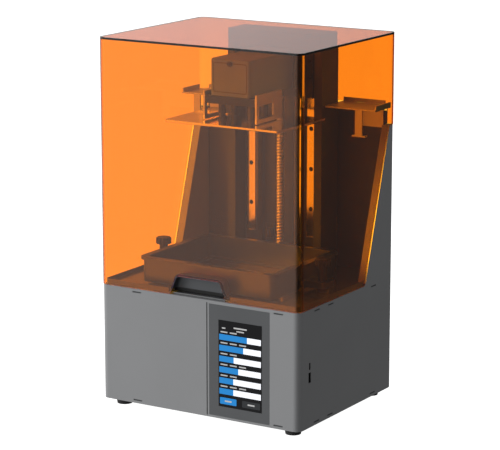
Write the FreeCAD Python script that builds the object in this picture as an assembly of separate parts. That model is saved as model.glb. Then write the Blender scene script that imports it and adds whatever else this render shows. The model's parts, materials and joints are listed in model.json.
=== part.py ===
import FreeCAD, Part
import math
import os

# Desktop masked resin printer, millimetres.
# X runs to the right, Y to the back and Z up; the front faces -Y.
# The origin is the centre of the footprint, on the surface that the feet stand on.

Vector = FreeCAD.Vector
X_AXIS = Vector(1, 0, 0)
Y_AXIS = Vector(0, 1, 0)
Z_AXIS = Vector(0, 0, 1)

# ---------------------------------------------------------------- overall sizes
WIDTH = 294.0
DEPTH = 240.0
HEIGHT = 475.0
CORNER_RADIUS = 9.0
TOUCH = 0.3
RUNNING_GAP = 0.05
HOLE_GAP = 0.1
SMALL_ROD_SIDE_COUNT = 12
KEY_SIDE_COUNT = 6
HALF_X = WIDTH / 2
HALF_Y = DEPTH / 2

# ---------------------------------------------------------------- feet
FOOT_HEIGHT = 9.0
FOOT_RADIUS_TOP = 11.0
FOOT_RADIUS_BOTTOM = 9.8
FOOT_INSET = 21.0
FOOT_POCKET_RADIUS = 4.4
FOOT_POCKET_DEPTH = 4.0
FOOT_SIDE_COUNT = 32
FOOT_SCREW_RADIUS = 2.0
FOOT_SCREW_HEAD_RADIUS = 3.8
FOOT_SCREW_HEAD = 2.4
FOOT_SCREW_LENGTH = 9.0

# ---------------------------------------------------------------- sheet metal base
SHEET = 1.6
SHOULDER_Z = 159.0
SHOULDER_FLANGE = 12.0
BODY_INSET = 0.5
UPRIGHT_WIDTH = 12.7
UPRIGHT_TOP_Z = 356.0
SLANT_FOOT_SETBACK = 76.5
SLANT_TOP_SETBACK = 16.2
SLANT_ROUND = 5.0
REAR_PANEL_RISE = 17.0
PAN_EDGE = 12.0
PAN_SLOT_LENGTH = 60.0
PAN_SLOT_WIDTH = 4.0
PAN_SLOT_PITCH = 8.0
PAN_SLOT_COUNT = 9
TAB_SLOT_LENGTH = 13.0
TAB_SLOT_HEIGHT = 1.8
TAB_SLOT_EDGE = 5.0
TAB_SLOT_LEFT_INSET = 49.0
TAB_SLOT_RIGHT_INSET = 37.0
TAB_SLOT_FIRST_Y = 36.0
TAB_SLOT_PITCH_Y = 34.0
TAB_SLOT_REAR_INSET = 60.0
VENT_COUNT = 8
VENT_HEIGHT = 3.0
VENT_PITCH = 8.0
VENT_LENGTH = 90.0
VENT_Z = 62.0
BODY_X = HALF_X - BODY_INSET
BODY_Y = HALF_Y - BODY_INSET
BODY_INNER_X = BODY_X - SHEET
BODY_INNER_Y = BODY_Y - SHEET
INNER_CORNER = CORNER_RADIUS - SHEET
REAR_INNER_Y = BODY_INNER_Y - SHEET
PAN_Z = FOOT_HEIGHT
PAN_TOP_Z = PAN_Z + SHEET
UPRIGHT_INNER_X = BODY_X - UPRIGHT_WIDTH
SLANT_FOOT_Y = HALF_Y - SLANT_FOOT_SETBACK
SLANT_TOP_Y = HALF_Y - SLANT_TOP_SETBACK
REAR_PANEL_TOP_Z = UPRIGHT_TOP_Z + REAR_PANEL_RISE

# ---------------------------------------------------------------- lid
ACRYLIC = 3.0
LID_GAP = 0.6
LID_STEP_GAP = 1.0
HANDLE_HALF_BOTTOM = 41.0
HANDLE_HALF_TOP = 32.0
HANDLE_HEIGHT = 24.0
HANDLE_ROUND = 6.0
HANDLE_DEPTH = 12.0
HANDLE_WALL = 2.4
HANDLE_BACK_ROUND = 4.0
LID_INNER_X = HALF_X - ACRYLIC
LID_INNER_Y = HALF_Y - ACRYLIC
LID_BOTTOM_Z = SHOULDER_Z + LID_GAP
LID_STEP_Z = UPRIGHT_TOP_Z + LID_STEP_GAP

# ---------------------------------------------------------------- deck
DECK_THICKNESS = 2.6
DECK_LIP_HEIGHT = 7.0
DECK_LIP_GAP = 1.6
DECK_BOSS_WALL = 5.0
DECK_TOP_Z = SHOULDER_Z + DECK_THICKNESS

# ---------------------------------------------------------------- column
COLUMN_HALF = 69.0
COLUMN_DEPTH = 42.4
COLUMN_REAR_GAP = 11.3
COLUMN_HEADROOM = 3.0
COLUMN_FLANGE = 11.0
COLUMN_HEADER = 23.0
SPINE_SIDE_GAP = 12.0
SPINE_THICKNESS = 15.4
SPINE_TOP_GAP = 7.0
TROUGH_DEPTH = 9.0
RAIL_WIDTH = 12.0
RAIL_HEIGHT = 8.0
RAIL_EDGE_GAP = 7.0
RAIL_LAND = 5.0
RAIL_TOP_GAP = 4.0
RAIL_BLOCK_GAP = 17.0
RAIL_HOLE_PITCH = 52.8
RAIL_HOLE_FIRST = 37.2
RAIL_GROOVE_DEPTH = 1.2
RAIL_GROOVE_SETBACK = 2.6
RAIL_GROOVE_HEIGHT = 2.4
RAIL_HEAD_RADIUS = 2.75
RAIL_HEAD_GAP = 0.25
RAIL_HEAD_SINK = 0.6
RAIL_HEAD_HEIGHT = 3.0
RAIL_SCREW_RADIUS = 1.5
COLUMN_BACK_Y = REAR_INNER_Y - COLUMN_REAR_GAP
COLUMN_FRONT_Y = COLUMN_BACK_Y - COLUMN_DEPTH
COLUMN_TOP_Z = HEIGHT - ACRYLIC - COLUMN_HEADROOM
SPINE_HALF = COLUMN_HALF - SPINE_SIDE_GAP
SPINE_FRONT_Y = COLUMN_BACK_Y - SHEET - SPINE_THICKNESS
SPINE_TOP_Z = COLUMN_TOP_Z - SPINE_TOP_GAP
TROUGH_FLOOR_Y = SPINE_FRONT_Y + TROUGH_DEPTH
RAIL_X = SPINE_HALF - RAIL_EDGE_GAP - RAIL_WIDTH / 2
RAIL_FACE_Y = SPINE_FRONT_Y - RAIL_HEIGHT
RAIL_TOP_Z = SPINE_TOP_Z - RAIL_TOP_GAP
TROUGH_HALF = RAIL_X - RAIL_WIDTH / 2 - RAIL_LAND

# ---------------------------------------------------------------- lid hinges
HINGE_SETBACK = 3.5
HINGE_RISE = 4.0
HINGE_SHELF_RISE = 4.0
HINGE_WIDTH = 38.0
HINGE_SIDE_GAP = 3.8
HINGE_COLUMN_GAP = 2.5
KNUCKLE_RADIUS = 3.5
KNUCKLE_END = 10.0
KNUCKLE_SIDE_GAP = 0.3
HINGE_PIN_RADIUS = 1.5
HINGE_LEAF_DROP = 22.0
HINGE_SHEET = 2.0
HINGE_PLATE_DEPTH = 50.0
HINGE_FLANGE_RISE = 5.0
HINGE_LEG_INSET = 5.0
HINGE_LEG_WIDTH = 10.0
HINGE_LEG_DROP = 33.0
HINGE_FOOT_SPREAD = 4.5
HINGE_FOOT_DEPTH = 6.0
HINGE_Y = HALF_Y - HINGE_SETBACK
HINGE_Z = REAR_PANEL_TOP_Z + HINGE_RISE
LID_REAR_EDGE_Z = HINGE_Z + HINGE_SHELF_RISE
HINGE_X1 = UPRIGHT_INNER_X - HINGE_SIDE_GAP
HINGE_X0 = HINGE_X1 - HINGE_WIDTH
HINGE_LEG_X1 = HINGE_X1 - HINGE_LEG_INSET
HINGE_LEG_X0 = HINGE_LEG_X1 - HINGE_LEG_WIDTH
HINGE_PLATE_X0 = COLUMN_HALF + HINGE_COLUMN_GAP
HINGE_PLATE_FRONT_Y = LID_INNER_Y - HINGE_PLATE_DEPTH
HINGE_PLATE_Z0 = LID_REAR_EDGE_Z - HINGE_SHEET

# ---------------------------------------------------------------- resin vat
VAT_SIDE_ROOM = 43.0
VAT_FRONT_ROOM = 15.0
VAT_COLUMN_GAP = 4.6
VAT_HEIGHT = 35.4
VAT_RIM_HEIGHT = 3.5
VAT_RIM_OVERHANG = 3.5
VAT_WALL = 6.0
VAT_FLOOR = 4.0
VAT_CORNER = 8.0
VAT_INNER_CORNER = 5.0
FILM_THICKNESS = 0.2
FILM_CORNER = 4.0
FILM_CLAMP_HEIGHT = 3.0
FILM_CLAMP_GAP = 1.5
FILM_SIDE_MARGIN = 14.0
FILM_FRONT_MARGIN = 32.0
FILM_BACK_MARGIN = 8.0
CLAMP_SIDE_INSET = 1.5
CLAMP_FRONT_INSET = 20.0
CLAMP_BACK_INSET = 0.5
EAR_SHIFT = 5.0
EAR_HALF_Y = 13.0
EAR_RISE = 6.4
EAR_THICKNESS = 8.0
EAR_CORNER = 6.0
EAR_TIP = 11.0
KNOB_SIDE_GAP = 17.0
KNOB_RISE = 7.0
KNOB_CAP_RADIUS = 10.0
KNOB_CAP_HEIGHT = 8.5
KNOB_TOP_BEVEL = 1.2
KNOB_STEM_RADIUS = 5.5
KNOB_STUD_RADIUS = 2.5
KNOB_STUD_DEPTH = 12.0
KNOB_FLUTES = 12
KNOB_FLUTE_DEPTH = 1.3
VAT_RIM_HALF_X = LID_INNER_X - VAT_SIDE_ROOM
VAT_RIM_FRONT_Y = -LID_INNER_Y + VAT_FRONT_ROOM
VAT_RIM_BACK_Y = COLUMN_FRONT_Y - VAT_COLUMN_GAP
VAT_RIM_TOP_Z = DECK_TOP_Z + VAT_HEIGHT
VAT_BOTTOM_Z = DECK_TOP_Z + TOUCH + FILM_CLAMP_HEIGHT + FILM_THICKNESS
VAT_WALL_HALF_X = VAT_RIM_HALF_X - VAT_RIM_OVERHANG
VAT_WALL_FRONT_Y = VAT_RIM_FRONT_Y + VAT_RIM_OVERHANG
VAT_WALL_BACK_Y = VAT_RIM_BACK_Y - VAT_RIM_OVERHANG
FILM_HALF_X = VAT_RIM_HALF_X - FILM_SIDE_MARGIN
FILM_FRONT_Y = VAT_RIM_FRONT_Y + FILM_FRONT_MARGIN
FILM_BACK_Y = VAT_RIM_BACK_Y - FILM_BACK_MARGIN
EAR_Y = (VAT_RIM_FRONT_Y + VAT_RIM_BACK_Y) / 2 + EAR_SHIFT
EAR_Z0 = DECK_TOP_Z + EAR_RISE
KNOB_X = VAT_RIM_HALF_X + KNOB_SIDE_GAP
KNOB_TOP_Z = VAT_RIM_TOP_Z + KNOB_RISE
EAR_REACH_X = KNOB_X + EAR_TIP

# ---------------------------------------------------------------- exposure screen
SCREEN_SIDE_LAP = 1.0
SCREEN_FRONT_GAP = 4.0
SCREEN_BACK_GAP = 1.0
SCREEN_PROUD = 3.0
SCREEN_HALF_X = FILM_HALF_X + SCREEN_SIDE_LAP
SCREEN_FRONT_Y = FILM_FRONT_Y + SCREEN_FRONT_GAP
SCREEN_BACK_Y = FILM_BACK_Y - SCREEN_BACK_GAP
SCREEN_TOP_Z = DECK_TOP_Z + SCREEN_PROUD
SCREEN_MID_Y = (SCREEN_FRONT_Y + SCREEN_BACK_Y) / 2
SCREEN_HALF_Y = (SCREEN_BACK_Y - SCREEN_FRONT_Y) / 2

# ---------------------------------------------------------------- light engine
LIGHT_BOX_WALL = 2.0
LIGHT_BOX_FLOOR_Z = 66.0
LIGHT_BOX_SIDE_INSET = 4.0
LIGHT_BOX_END_INSET = 3.5
LIGHT_BOX_FLANGE = 6.0
LED_BOARD_THICKNESS = 1.6
LED_COLUMNS = 6
LED_ROWS = 4
LED_PITCH = 15.5
LED_SIDE_MARGIN = 5.5
LED_END_MARGIN = 7.0
LED_SIZE = 3.5
LED_HEIGHT = 1.2
LENS_PLATE_RISE = 4.0
LENS_PLATE_THICKNESS = 2.0
LENS_HALF = 6.4
LENS_TOP_HALF = 3.0
LENS_RISE = 3.2
LENS_LEG = 4.0
HEAT_SINK_OVERHANG = 4.0
HEAT_SINK_BASE = 6.0
HEAT_SINK_FIN_HEIGHT = 18.0
HEAT_SINK_FIN = 1.6
HEAT_SINK_FINS = 15
LIGHT_BOX_HALF_TOP_X = SCREEN_HALF_X - LIGHT_BOX_SIDE_INSET
LIGHT_BOX_HALF_TOP_Y = SCREEN_HALF_Y - LIGHT_BOX_END_INSET
LIGHT_BOX_HALF_FLOOR_X = LED_COLUMNS * LED_PITCH / 2 + LED_SIDE_MARGIN
LIGHT_BOX_HALF_FLOOR_Y = LED_ROWS * LED_PITCH / 2 + LED_END_MARGIN
HEAT_SINK_TOP_Z = LIGHT_BOX_FLOOR_Z - LED_BOARD_THICKNESS
HEAT_SINK_BOTTOM_Z = HEAT_SINK_TOP_Z - HEAT_SINK_BASE - HEAT_SINK_FIN_HEIGHT

# ---------------------------------------------------------------- fans
LAMP_FAN_SIZE = 80.0
LAMP_FAN_THICKNESS = 20.0
EXHAUST_FAN_SIZE = 60.0
EXHAUST_FAN_THICKNESS = 15.0
EXHAUST_SIDE_GAP = 32.9
EXHAUST_Z = 92.0
FAN_WALL = 2.0
FAN_HUB_RATIO = 0.42
FAN_CORNER_RATIO = 0.06
FAN_TIP_GAP = 1.0
FAN_BLADES = 7
FAN_BLADE = 1.6
FAN_STRUT = 3.0
FAN_MOUNT = 1.6
FAN_SHAFT_RADIUS = 1.0
FAN_END_GAP = 0.8
FAN_SIDE_COUNT = 36
GRILLE_SPOKE = 3.0
GRILLE_SLOT = 4.0
GRILLE_PITCH = 7.0
GRILLE_RING_COUNT = 3
EXHAUST_X = -(BODY_INNER_X - EXHAUST_SIDE_GAP - EXHAUST_FAN_SIZE / 2)

# ---------------------------------------------------------------- front screen
SURROUND_WIDTH = 87.9
SURROUND_SIDE_GAP = 42.2
SURROUND_TOP_GAP = 4.0
SURROUND_BOTTOM_GAP = 3.0
SURROUND_THICKNESS = 3.0
SURROUND_FLANGE = 3.0
SURROUND_LAP = 1.2
GLASS_WIDTH = 62.7
GLASS_HEIGHT = 110.9
GLASS_LEFT_MARGIN = 13.9
GLASS_BOTTOM_MARGIN = 13.3
GLASS_THICKNESS = 1.8
GLASS_PROUD = 0.2
MODULE_MARGIN = 1.5
MODULE_THICKNESS = 5.0
MODULE_CHIP = 12.0
MODULE_CHIP_HEIGHT = 1.4
SURROUND_X1 = BODY_X - SURROUND_SIDE_GAP
SURROUND_X0 = SURROUND_X1 - SURROUND_WIDTH
SURROUND_Z0 = PAN_Z + SURROUND_BOTTOM_GAP
SURROUND_Z1 = SHOULDER_Z - SURROUND_TOP_GAP
GLASS_X0 = SURROUND_X0 + GLASS_LEFT_MARGIN
GLASS_X1 = GLASS_X0 + GLASS_WIDTH
GLASS_Z0 = SURROUND_Z0 + GLASS_BOTTOM_MARGIN
GLASS_Z1 = GLASS_Z0 + GLASS_HEIGHT

# ---------------------------------------------------------------- sockets on the right side
USB_FRONT_INSET = 25.5
USB_A_Z = 73.0
USB_A_HEIGHT = 13.2
USB_A_WIDTH = 5.8
USB_A_DEPTH = 14.0
USB_A_TONGUE = 1.8
USB_C_Z = 87.3
USB_C_HEIGHT = 9.2
USB_C_WIDTH = 3.4
USB_C_DEPTH = 8.0
USB_C_TONGUE = 0.7
USB_SHELL = 0.4
USB_CLEARANCE = 0.3
USB_SETBACK = 0.4
USB_FOOT = 1.6
USB_Y = -HALF_Y + USB_FRONT_INSET

# ---------------------------------------------------------------- rear connections
INLET_SIDE_GAP = 46.9
INLET_Z = 46.0
INLET_BODY_X = 27.0
INLET_BODY_Z = 19.5
INLET_FLANGE_X = 48.0
INLET_FLANGE_Z = 22.5
INLET_FLANGE_THICKNESS = 0.7
INLET_DEPTH = 22.0
INLET_WALL = 1.6
INLET_CHAMFER = 4.0
INLET_FLOOR = 4.0
INLET_PIN_HALF = 1.0
INLET_PIN_HEIGHT = 4.0
INLET_PIN_PITCH = 7.0
INLET_PIN_SETBACK = 6.5
INLET_PIN_TAIL = 5.0
INLET_SCREW_X = 20.0
INLET_SCREW_RADIUS = 1.7
SWITCH_RISE = 40.0
SWITCH_BODY_X = 19.0
SWITCH_BODY_Z = 27.5
SWITCH_FLANGE = 1.5
SWITCH_WALL_X = 1.6
SWITCH_WALL_Z = 1.2
SWITCH_DEPTH = 16.0
SWITCH_FLOOR = 3.0
SWITCH_TAB = 7.0
ROCKER_TILT = 10.0
ROCKER_GAP = 0.3
ROCKER_END_GAP = 1.0
ROCKER_PIVOT_DEPTH = 5.0
ROCKER_PIVOT_RADIUS = 1.2
ROCKER_PIVOT_REACH = 1.5
ROCKER_FACE = 4.2
ROCKER_DISH = 0.8
ROCKER_BACK = 2.6
ROCKER_BACK_HALF = 4.0
ROCKER_EDGE = 1.0
INLET_X = BODY_INNER_X - INLET_SIDE_GAP
SWITCH_Z = INLET_Z + SWITCH_RISE

# ---------------------------------------------------------------- electronics in the base
BOARD_LENGTH = 124.0
BOARD_HEIGHT = 86.0
BOARD_THICKNESS = 1.6
BOARD_STAND_OFF = 6.0
BOARD_RISE = 21.4
BOARD_REAR_GAP = 64.3
BOARD_POST_RADIUS = 3.0
BOARD_POST_INSET = 5.0
PROCESSOR_SIZE = 16.0
PROCESSOR_HEIGHT = 1.6
DRIVER_SIZE = 10.0
DRIVER_HEIGHT = 1.2
SINK_WIDTH = 20.0
SINK_LENGTH = 40.0
SINK_HEIGHT = 9.0
SOCKET_ROW_LENGTH = 50.0
SOCKET_ROW_WIDTH = 7.0
SOCKET_ROW_HEIGHT = 8.0
TERMINAL_WIDTH = 14.0
CAPACITOR_RADIUS = 4.0
CAPACITOR_HEIGHT = 12.0
CAPACITOR_PITCH = 14.0
SUPPLY_WIDTH = 48.0
SUPPLY_LENGTH = 108.0
SUPPLY_HEIGHT = 36.0
SUPPLY_SIDE_GAP = 4.9
SUPPLY_REAR_GAP = 48.3
SUPPLY_SHEET = 1.2
SUPPLY_SLOT = 4.0
SUPPLY_SLOT_PITCH = 9.0
SUPPLY_SLOT_COUNT = 10
SUPPLY_MARGIN = 8.0
SUPPLY_COIL_HEIGHT = 25.2
SUPPLY_COIL_LENGTH = 28.0
SUPPLY_TERMINAL_HEIGHT = 11.2
SUPPLY_TERMINAL_LENGTH = 10.0
BOARD_BACK_Y = REAR_INNER_Y - BOARD_REAR_GAP
BOARD_FRONT_Y = BOARD_BACK_Y - BOARD_LENGTH
BOARD_Z0 = PAN_TOP_Z + BOARD_RISE
BOARD_Z1 = BOARD_Z0 + BOARD_HEIGHT
BOARD_FACE_X = -BODY_INNER_X + BOARD_STAND_OFF + BOARD_THICKNESS
SUPPLY_X1 = BODY_INNER_X - SUPPLY_SIDE_GAP
SUPPLY_X0 = SUPPLY_X1 - SUPPLY_WIDTH
SUPPLY_Y1 = REAR_INNER_Y - SUPPLY_REAR_GAP
SUPPLY_Y0 = SUPPLY_Y1 - SUPPLY_LENGTH

# ---------------------------------------------------------------- ball screw drive
SCREW_STAND_OFF = 8.0
SCREW_RADIUS = 5.0
SCREW_SHOULDER = 1.0
BLOCK_SIDE_GAP = 0.5
BLOCK_REACH = 12.0
BLOCK_ROUND = 6.0
LOWER_BLOCK_PLATE = 8.0
LOWER_BLOCK_LEG = 9.0
UPPER_BLOCK_HEIGHT = 11.0
UPPER_BLOCK_TOP_GAP = 10.0
COUPLER_WALL = 5.5
COUPLER_LENGTH = 14.6
COUPLER_GRIP = 8.0
COUPLER_SLOT = 1.2
COUPLER_DECK_GAP = 1.8
COUPLER_BLOCK_GAP = 1.0
MOTOR_SIZE = 42.3
MOTOR_HEIGHT = 40.0
MOTOR_CHAMFER = 4.5
MOTOR_BAND = 10.0
MOTOR_GROOVE = 0.8
MOTOR_PILOT_RADIUS = 11.0
MOTOR_PILOT_HEIGHT = 2.0
MOTOR_SOCKET_WIDTH = 16.0
MOTOR_SOCKET_DEPTH = 5.0
MOTOR_SOCKET_HEIGHT = 7.0
MOTOR_SHAFT_RADIUS = 2.5
MOTOR_SHAFT_SEAT = 4.0
SENSOR_SIDE_GAP = 9.0
SENSOR_RISE = 3.0
SENSOR_BOARD_WIDTH = 12.0
SENSOR_BOARD_HEIGHT = 22.0
SENSOR_BOARD = 1.6
SENSOR_FORK_WIDTH = 8.0
SENSOR_FORK_HEIGHT = 12.0
SENSOR_FORK_REACH = 8.0
SENSOR_FORK_RISE = 4.0
SENSOR_GAP = 3.0
SCREW_Y = SPINE_FRONT_Y - SCREW_STAND_OFF
JOURNAL_RADIUS = SCREW_RADIUS - SCREW_SHOULDER
BLOCK_HALF = TROUGH_HALF - BLOCK_SIDE_GAP
BLOCK_FRONT_Y = SCREW_Y - BLOCK_REACH
COUPLER_RADIUS = JOURNAL_RADIUS + COUPLER_WALL
COUPLER_Z0 = DECK_TOP_Z + COUPLER_DECK_GAP
COUPLER_Z1 = COUPLER_Z0 + COUPLER_LENGTH
COUPLER_MIDDLE_Z = COUPLER_Z0 + COUPLER_GRIP
LOWER_BLOCK_TOP_Z = COUPLER_Z1 + COUPLER_BLOCK_GAP + LOWER_BLOCK_PLATE
UPPER_BLOCK_Z1 = COLUMN_TOP_Z - UPPER_BLOCK_TOP_GAP
UPPER_BLOCK_Z0 = UPPER_BLOCK_Z1 - UPPER_BLOCK_HEIGHT
RAIL_BOTTOM_Z = LOWER_BLOCK_TOP_Z + RAIL_BLOCK_GAP
SENSOR_X = -TROUGH_HALF + SENSOR_SIDE_GAP
SENSOR_Z0 = LOWER_BLOCK_TOP_Z + SENSOR_RISE

# ---------------------------------------------------------------- carriage
SLIDE_GAP = 0.2
SLIDE_FLOOR_GAP = 1.6
CARRIAGE_TOP_GAP = 2.0
CARRIAGE_PLATE = 6.0
CARRIAGE_PLATE_HEIGHT = 58.0
CARRIAGE_PLATE_MARGIN = 8.0
CARRIAGE_WINDOW_GAP = 3.0
CARRIAGE_BLOCK_HEIGHT = 42.0
CARRIAGE_BLOCK_WIDTH = 27.0
CARRIAGE_BLOCK_DEPTH = 13.0
CARRIAGE_SEAM = 0.8
CARRIAGE_SEAM_DEPTH = 0.6
CARRIAGE_SEAM_INSET = 5.0
CARRIAGE_SCREW_SPREAD = 5.0
CARRIAGE_SCREW_INSET = 10.0
CARRIAGE_SCREW_SHIFT = 1.0
CAP_SCREW_RADIUS = 2.75
CAP_SCREW_HEIGHT = 2.0
CAP_SCREW_KEY_RADIUS = 1.4
NUT_BRACKET_HALF = 17.0
NUT_BRACKET_DEPTH = 22.0
NUT_BRACKET_HEIGHT = 22.0
NUT_BRACKET_DROP = 11.0
NUT_WALL = 3.0
NUT_PASSAGE_GAP = 0.5
NUT_FLANGE_EDGE = 3.5
NUT_FLANGE = 4.0
NUT_LIP = 4.0
NUT_TRIM_GAP = 1.0
FLAG = 1.2
FLAG_ARM = 2.0
FLAG_ARM_HEIGHT = 7.0
FLAG_ARM_SETBACK = 5.0
FLAG_DROP = 15.0
FLAG_TIP_GAP = 4.5
CARRIAGE_Z1 = UPPER_BLOCK_Z0 - CARRIAGE_TOP_GAP
CARRIAGE_Z0 = CARRIAGE_Z1 - CARRIAGE_PLATE_HEIGHT
CARRIAGE_BLOCK_Z0 = CARRIAGE_Z1 - CARRIAGE_BLOCK_HEIGHT
CARRIAGE_BLOCK_FRONT_Y = SPINE_FRONT_Y - CARRIAGE_BLOCK_DEPTH
CARRIAGE_FACE_Y = CARRIAGE_BLOCK_FRONT_Y - CARRIAGE_PLATE
CARRIAGE_PLATE_HALF = RAIL_X + CARRIAGE_PLATE_MARGIN
NUT_RADIUS = SCREW_RADIUS + NUT_WALL
NUT_FLANGE_RADIUS = NUT_RADIUS + NUT_FLANGE_EDGE
NUT_BRACKET_Z1 = CARRIAGE_Z1 - NUT_BRACKET_DROP
NUT_BRACKET_Z0 = NUT_BRACKET_Z1 - NUT_BRACKET_HEIGHT
NUT_BRACKET_BACK_Y = CARRIAGE_FACE_Y + NUT_BRACKET_DEPTH

# ---------------------------------------------------------------- arm and its cover
SPIGOT_HALF = 9.0
SPIGOT_GAP = 0.3
SPIGOT_SHIFT = 11.5
SPIGOT_ROOF = 1.6
SPIGOT_BEVEL = 1.5
ARM_COVER_GAP = 0.6
ARM_COVER_HALF = 29.2
ARM_COVER_HEIGHT = 46.7
ARM_COVER_RISE = 2.0
ARM_COVER_NOSE = 22.4
ARM_COVER_WALL = 2.4
ARM_COVER_ROUND = 4.0
ARM_COVER_BEVEL = 1.5
ARM_HALF = 20.0
ARM_HEAD_RISE = 7.6
ARM_WEB = 6.0
ARM_FLANGE = 6.0
ARM_POCKET_ROUND = 3.0
ARM_SOCKET_WALL = 5.0
LOCK_SCREW_DROP = 1.5
LOCK_SCREW_RADIUS = 2.5
LOCK_SCREW_HEAD_RADIUS = 3.2
LOCK_SCREW_HEAD = 2.0
LOCK_SCREW_KEY_RADIUS = 1.6
LOCK_SCREW_KEY_DEPTH = 1.4
SPIGOT_Y = SCREEN_MID_Y - SPIGOT_SHIFT
ARM_COVER_BACK_Y = COLUMN_FRONT_Y - ARM_COVER_GAP
ARM_COVER_FRONT_Y = SPIGOT_Y - ARM_COVER_NOSE
ARM_COVER_TOP_Z = CARRIAGE_Z1 + ARM_COVER_RISE
ARM_BOTTOM_Z = ARM_COVER_TOP_Z - ARM_COVER_HEIGHT
ARM_HEAD_TOP_Z = ARM_COVER_TOP_Z - ARM_COVER_WALL
ARM_TOP_Z = ARM_HEAD_TOP_Z - ARM_HEAD_RISE
SPIGOT_TOP_Z = ARM_HEAD_TOP_Z - SPIGOT_ROOF
LOCK_SCREW_Z = SPIGOT_TOP_Z - LOCK_SCREW_DROP

# ---------------------------------------------------------------- build platform
PLATE_SIDE_GAP = 4.5
PLATE_END_GAP = 0.5
PLATE_THICKNESS = 3.2
PLATE_CORNER = 3.0
PLATE_BEVEL = 0.8
BRACKET_HEIGHT = 32.2
BRACKET_DEPTH = 61.0
BRACKET_NOSE = 23.0
BRACKET_BLOCK = 10.0
BRACKET_SIDE_SHEET = 2.4
BRACKET_SIDE_GAP = 7.8
BRACKET_SIDE_RISE = 5.0
BRACKET_PLATE_GAP = 1.2
WINDOW_FRONT_MARGIN = 6.0
WINDOW_LENGTH = 35.0
WINDOW_TOP_MARGIN = 3.0
WINDOW_BOTTOM_MARGIN = 6.2
WINDOW_ROUND = 2.0
POST_X = 22.0
POST_FRONT_MARGIN = 17.0
POST_PITCH = 30.0
POST_RADIUS = 4.6
POST_FOOT = 1.6
POST_FOOT_HEIGHT = 2.4
POST_NECK_RADIUS = 2.0
PLATE_HALF_X = SCREEN_HALF_X - PLATE_SIDE_GAP
PLATE_FRONT_Y = SCREEN_FRONT_Y + PLATE_END_GAP
PLATE_BACK_Y = SCREEN_BACK_Y - PLATE_END_GAP
BRACKET_TOP_Z = ARM_BOTTOM_Z - TOUCH
BRACKET_SIDE_TOP_Z = BRACKET_TOP_Z + BRACKET_SIDE_RISE
BRACKET_UNDER_Z = BRACKET_TOP_Z - BRACKET_BLOCK
BRACKET_HALF = ARM_COVER_HALF + BRACKET_SIDE_GAP + BRACKET_SIDE_SHEET
BRACKET_FRONT_Y = SPIGOT_Y - BRACKET_NOSE
BRACKET_BACK_Y = BRACKET_FRONT_Y + BRACKET_DEPTH
PLATE_TOP_Z = BRACKET_TOP_Z - BRACKET_HEIGHT
PLATE_BOTTOM_Z = PLATE_TOP_Z - PLATE_THICKNESS
WINDOW_Z0 = PLATE_TOP_Z + WINDOW_BOTTOM_MARGIN
WINDOW_Z1 = BRACKET_TOP_Z - WINDOW_TOP_MARGIN
WINDOW_FRONT_Y = BRACKET_FRONT_Y + WINDOW_FRONT_MARGIN
WINDOW_BACK_Y = WINDOW_FRONT_Y + WINDOW_LENGTH
POST_FRONT_Y = BRACKET_FRONT_Y + POST_FRONT_MARGIN
POST_BACK_Y = POST_FRONT_Y + POST_PITCH

# ---------------------------------------------------------------- geometry helpers
def block(x0, x1, y0, y1, z0, z1):
    return Part.makeBox(x1 - x0, y1 - y0, z1 - z0, Vector(x0, y0, z0))


def rod(radius, start, axis, length):
    return Part.makeCylinder(radius, length, start, axis)


def ring_points(radius, centre, axis, count):
    """Corners of a regular polygon round a centre, square to an axis."""
    across = Y_AXIS if abs(axis.x) > 0.5 else X_AXIS
    up = axis.cross(across)
    points = []
    for index in range(count):
        angle = 2 * math.pi * (index + 0.5) / count
        points.append(centre + across * (radius * math.cos(angle)) + up * (radius * math.sin(angle)))
    return points


def small_rod(radius, start, axis, length, count=SMALL_ROD_SIDE_COUNT):
    """Bar with flats round it, for small pieces that repeat."""
    return polygon(ring_points(radius, start, axis, count)).extrude(axis * length)


def frustum(low, high):
    """Solid with flat sides between two outlines that have as many corners."""
    count = len(low)
    faces = [polygon(low), polygon(high)]
    for index in range(count):
        after = (index + 1) % count
        faces.append(polygon([low[index], low[after], high[after], high[index]]))
    solid = Part.Solid(Part.makeShell(faces))
    if solid.Volume < 0:
        solid.reverse()
    return solid


def rounded_wire(x0, x1, y0, y1, radius, z):
    """Closed rectangle in plan with four round corners."""
    r = radius
    q = r * (1 - math.sqrt(0.5))
    sides = [
        Part.LineSegment(Vector(x0 + r, y0, z), Vector(x1 - r, y0, z)),
        Part.Arc(Vector(x1 - r, y0, z), Vector(x1 - q, y0 + q, z), Vector(x1, y0 + r, z)),
        Part.LineSegment(Vector(x1, y0 + r, z), Vector(x1, y1 - r, z)),
        Part.Arc(Vector(x1, y1 - r, z), Vector(x1 - q, y1 - q, z), Vector(x1 - r, y1, z)),
        Part.LineSegment(Vector(x1 - r, y1, z), Vector(x0 + r, y1, z)),
        Part.Arc(Vector(x0 + r, y1, z), Vector(x0 + q, y1 - q, z), Vector(x0, y1 - r, z)),
        Part.LineSegment(Vector(x0, y1 - r, z), Vector(x0, y0 + r, z)),
        Part.Arc(Vector(x0, y0 + r, z), Vector(x0 + q, y0 + q, z), Vector(x0 + r, y0, z)),
    ]
    return Part.Wire([side.toShape() for side in sides])


def rounded_block(x0, x1, y0, y1, z0, z1, radius):
    face = Part.Face(rounded_wire(x0, x1, y0, y1, radius, z0))
    return face.extrude(Vector(0, 0, z1 - z0))


def polygon(points):
    return Part.Face(Part.makePolygon(points + [points[0]]))


def side_prism(outline, x0, x1):
    """Prism along X from an outline of (y, z) corners."""
    face = polygon([Vector(x0, y, z) for y, z in outline])
    return face.extrude(Vector(x1 - x0, 0, 0))


def front_prism(outline, y0, y1):
    """Prism along Y from an outline of (x, z) corners."""
    face = polygon([Vector(x, y0, z) for x, z in outline])
    return face.extrude(Vector(0, y1 - y0, 0))


def mirrored(shape):
    return shape.mirror(Vector(0, 0, 0), X_AXIS)


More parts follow.
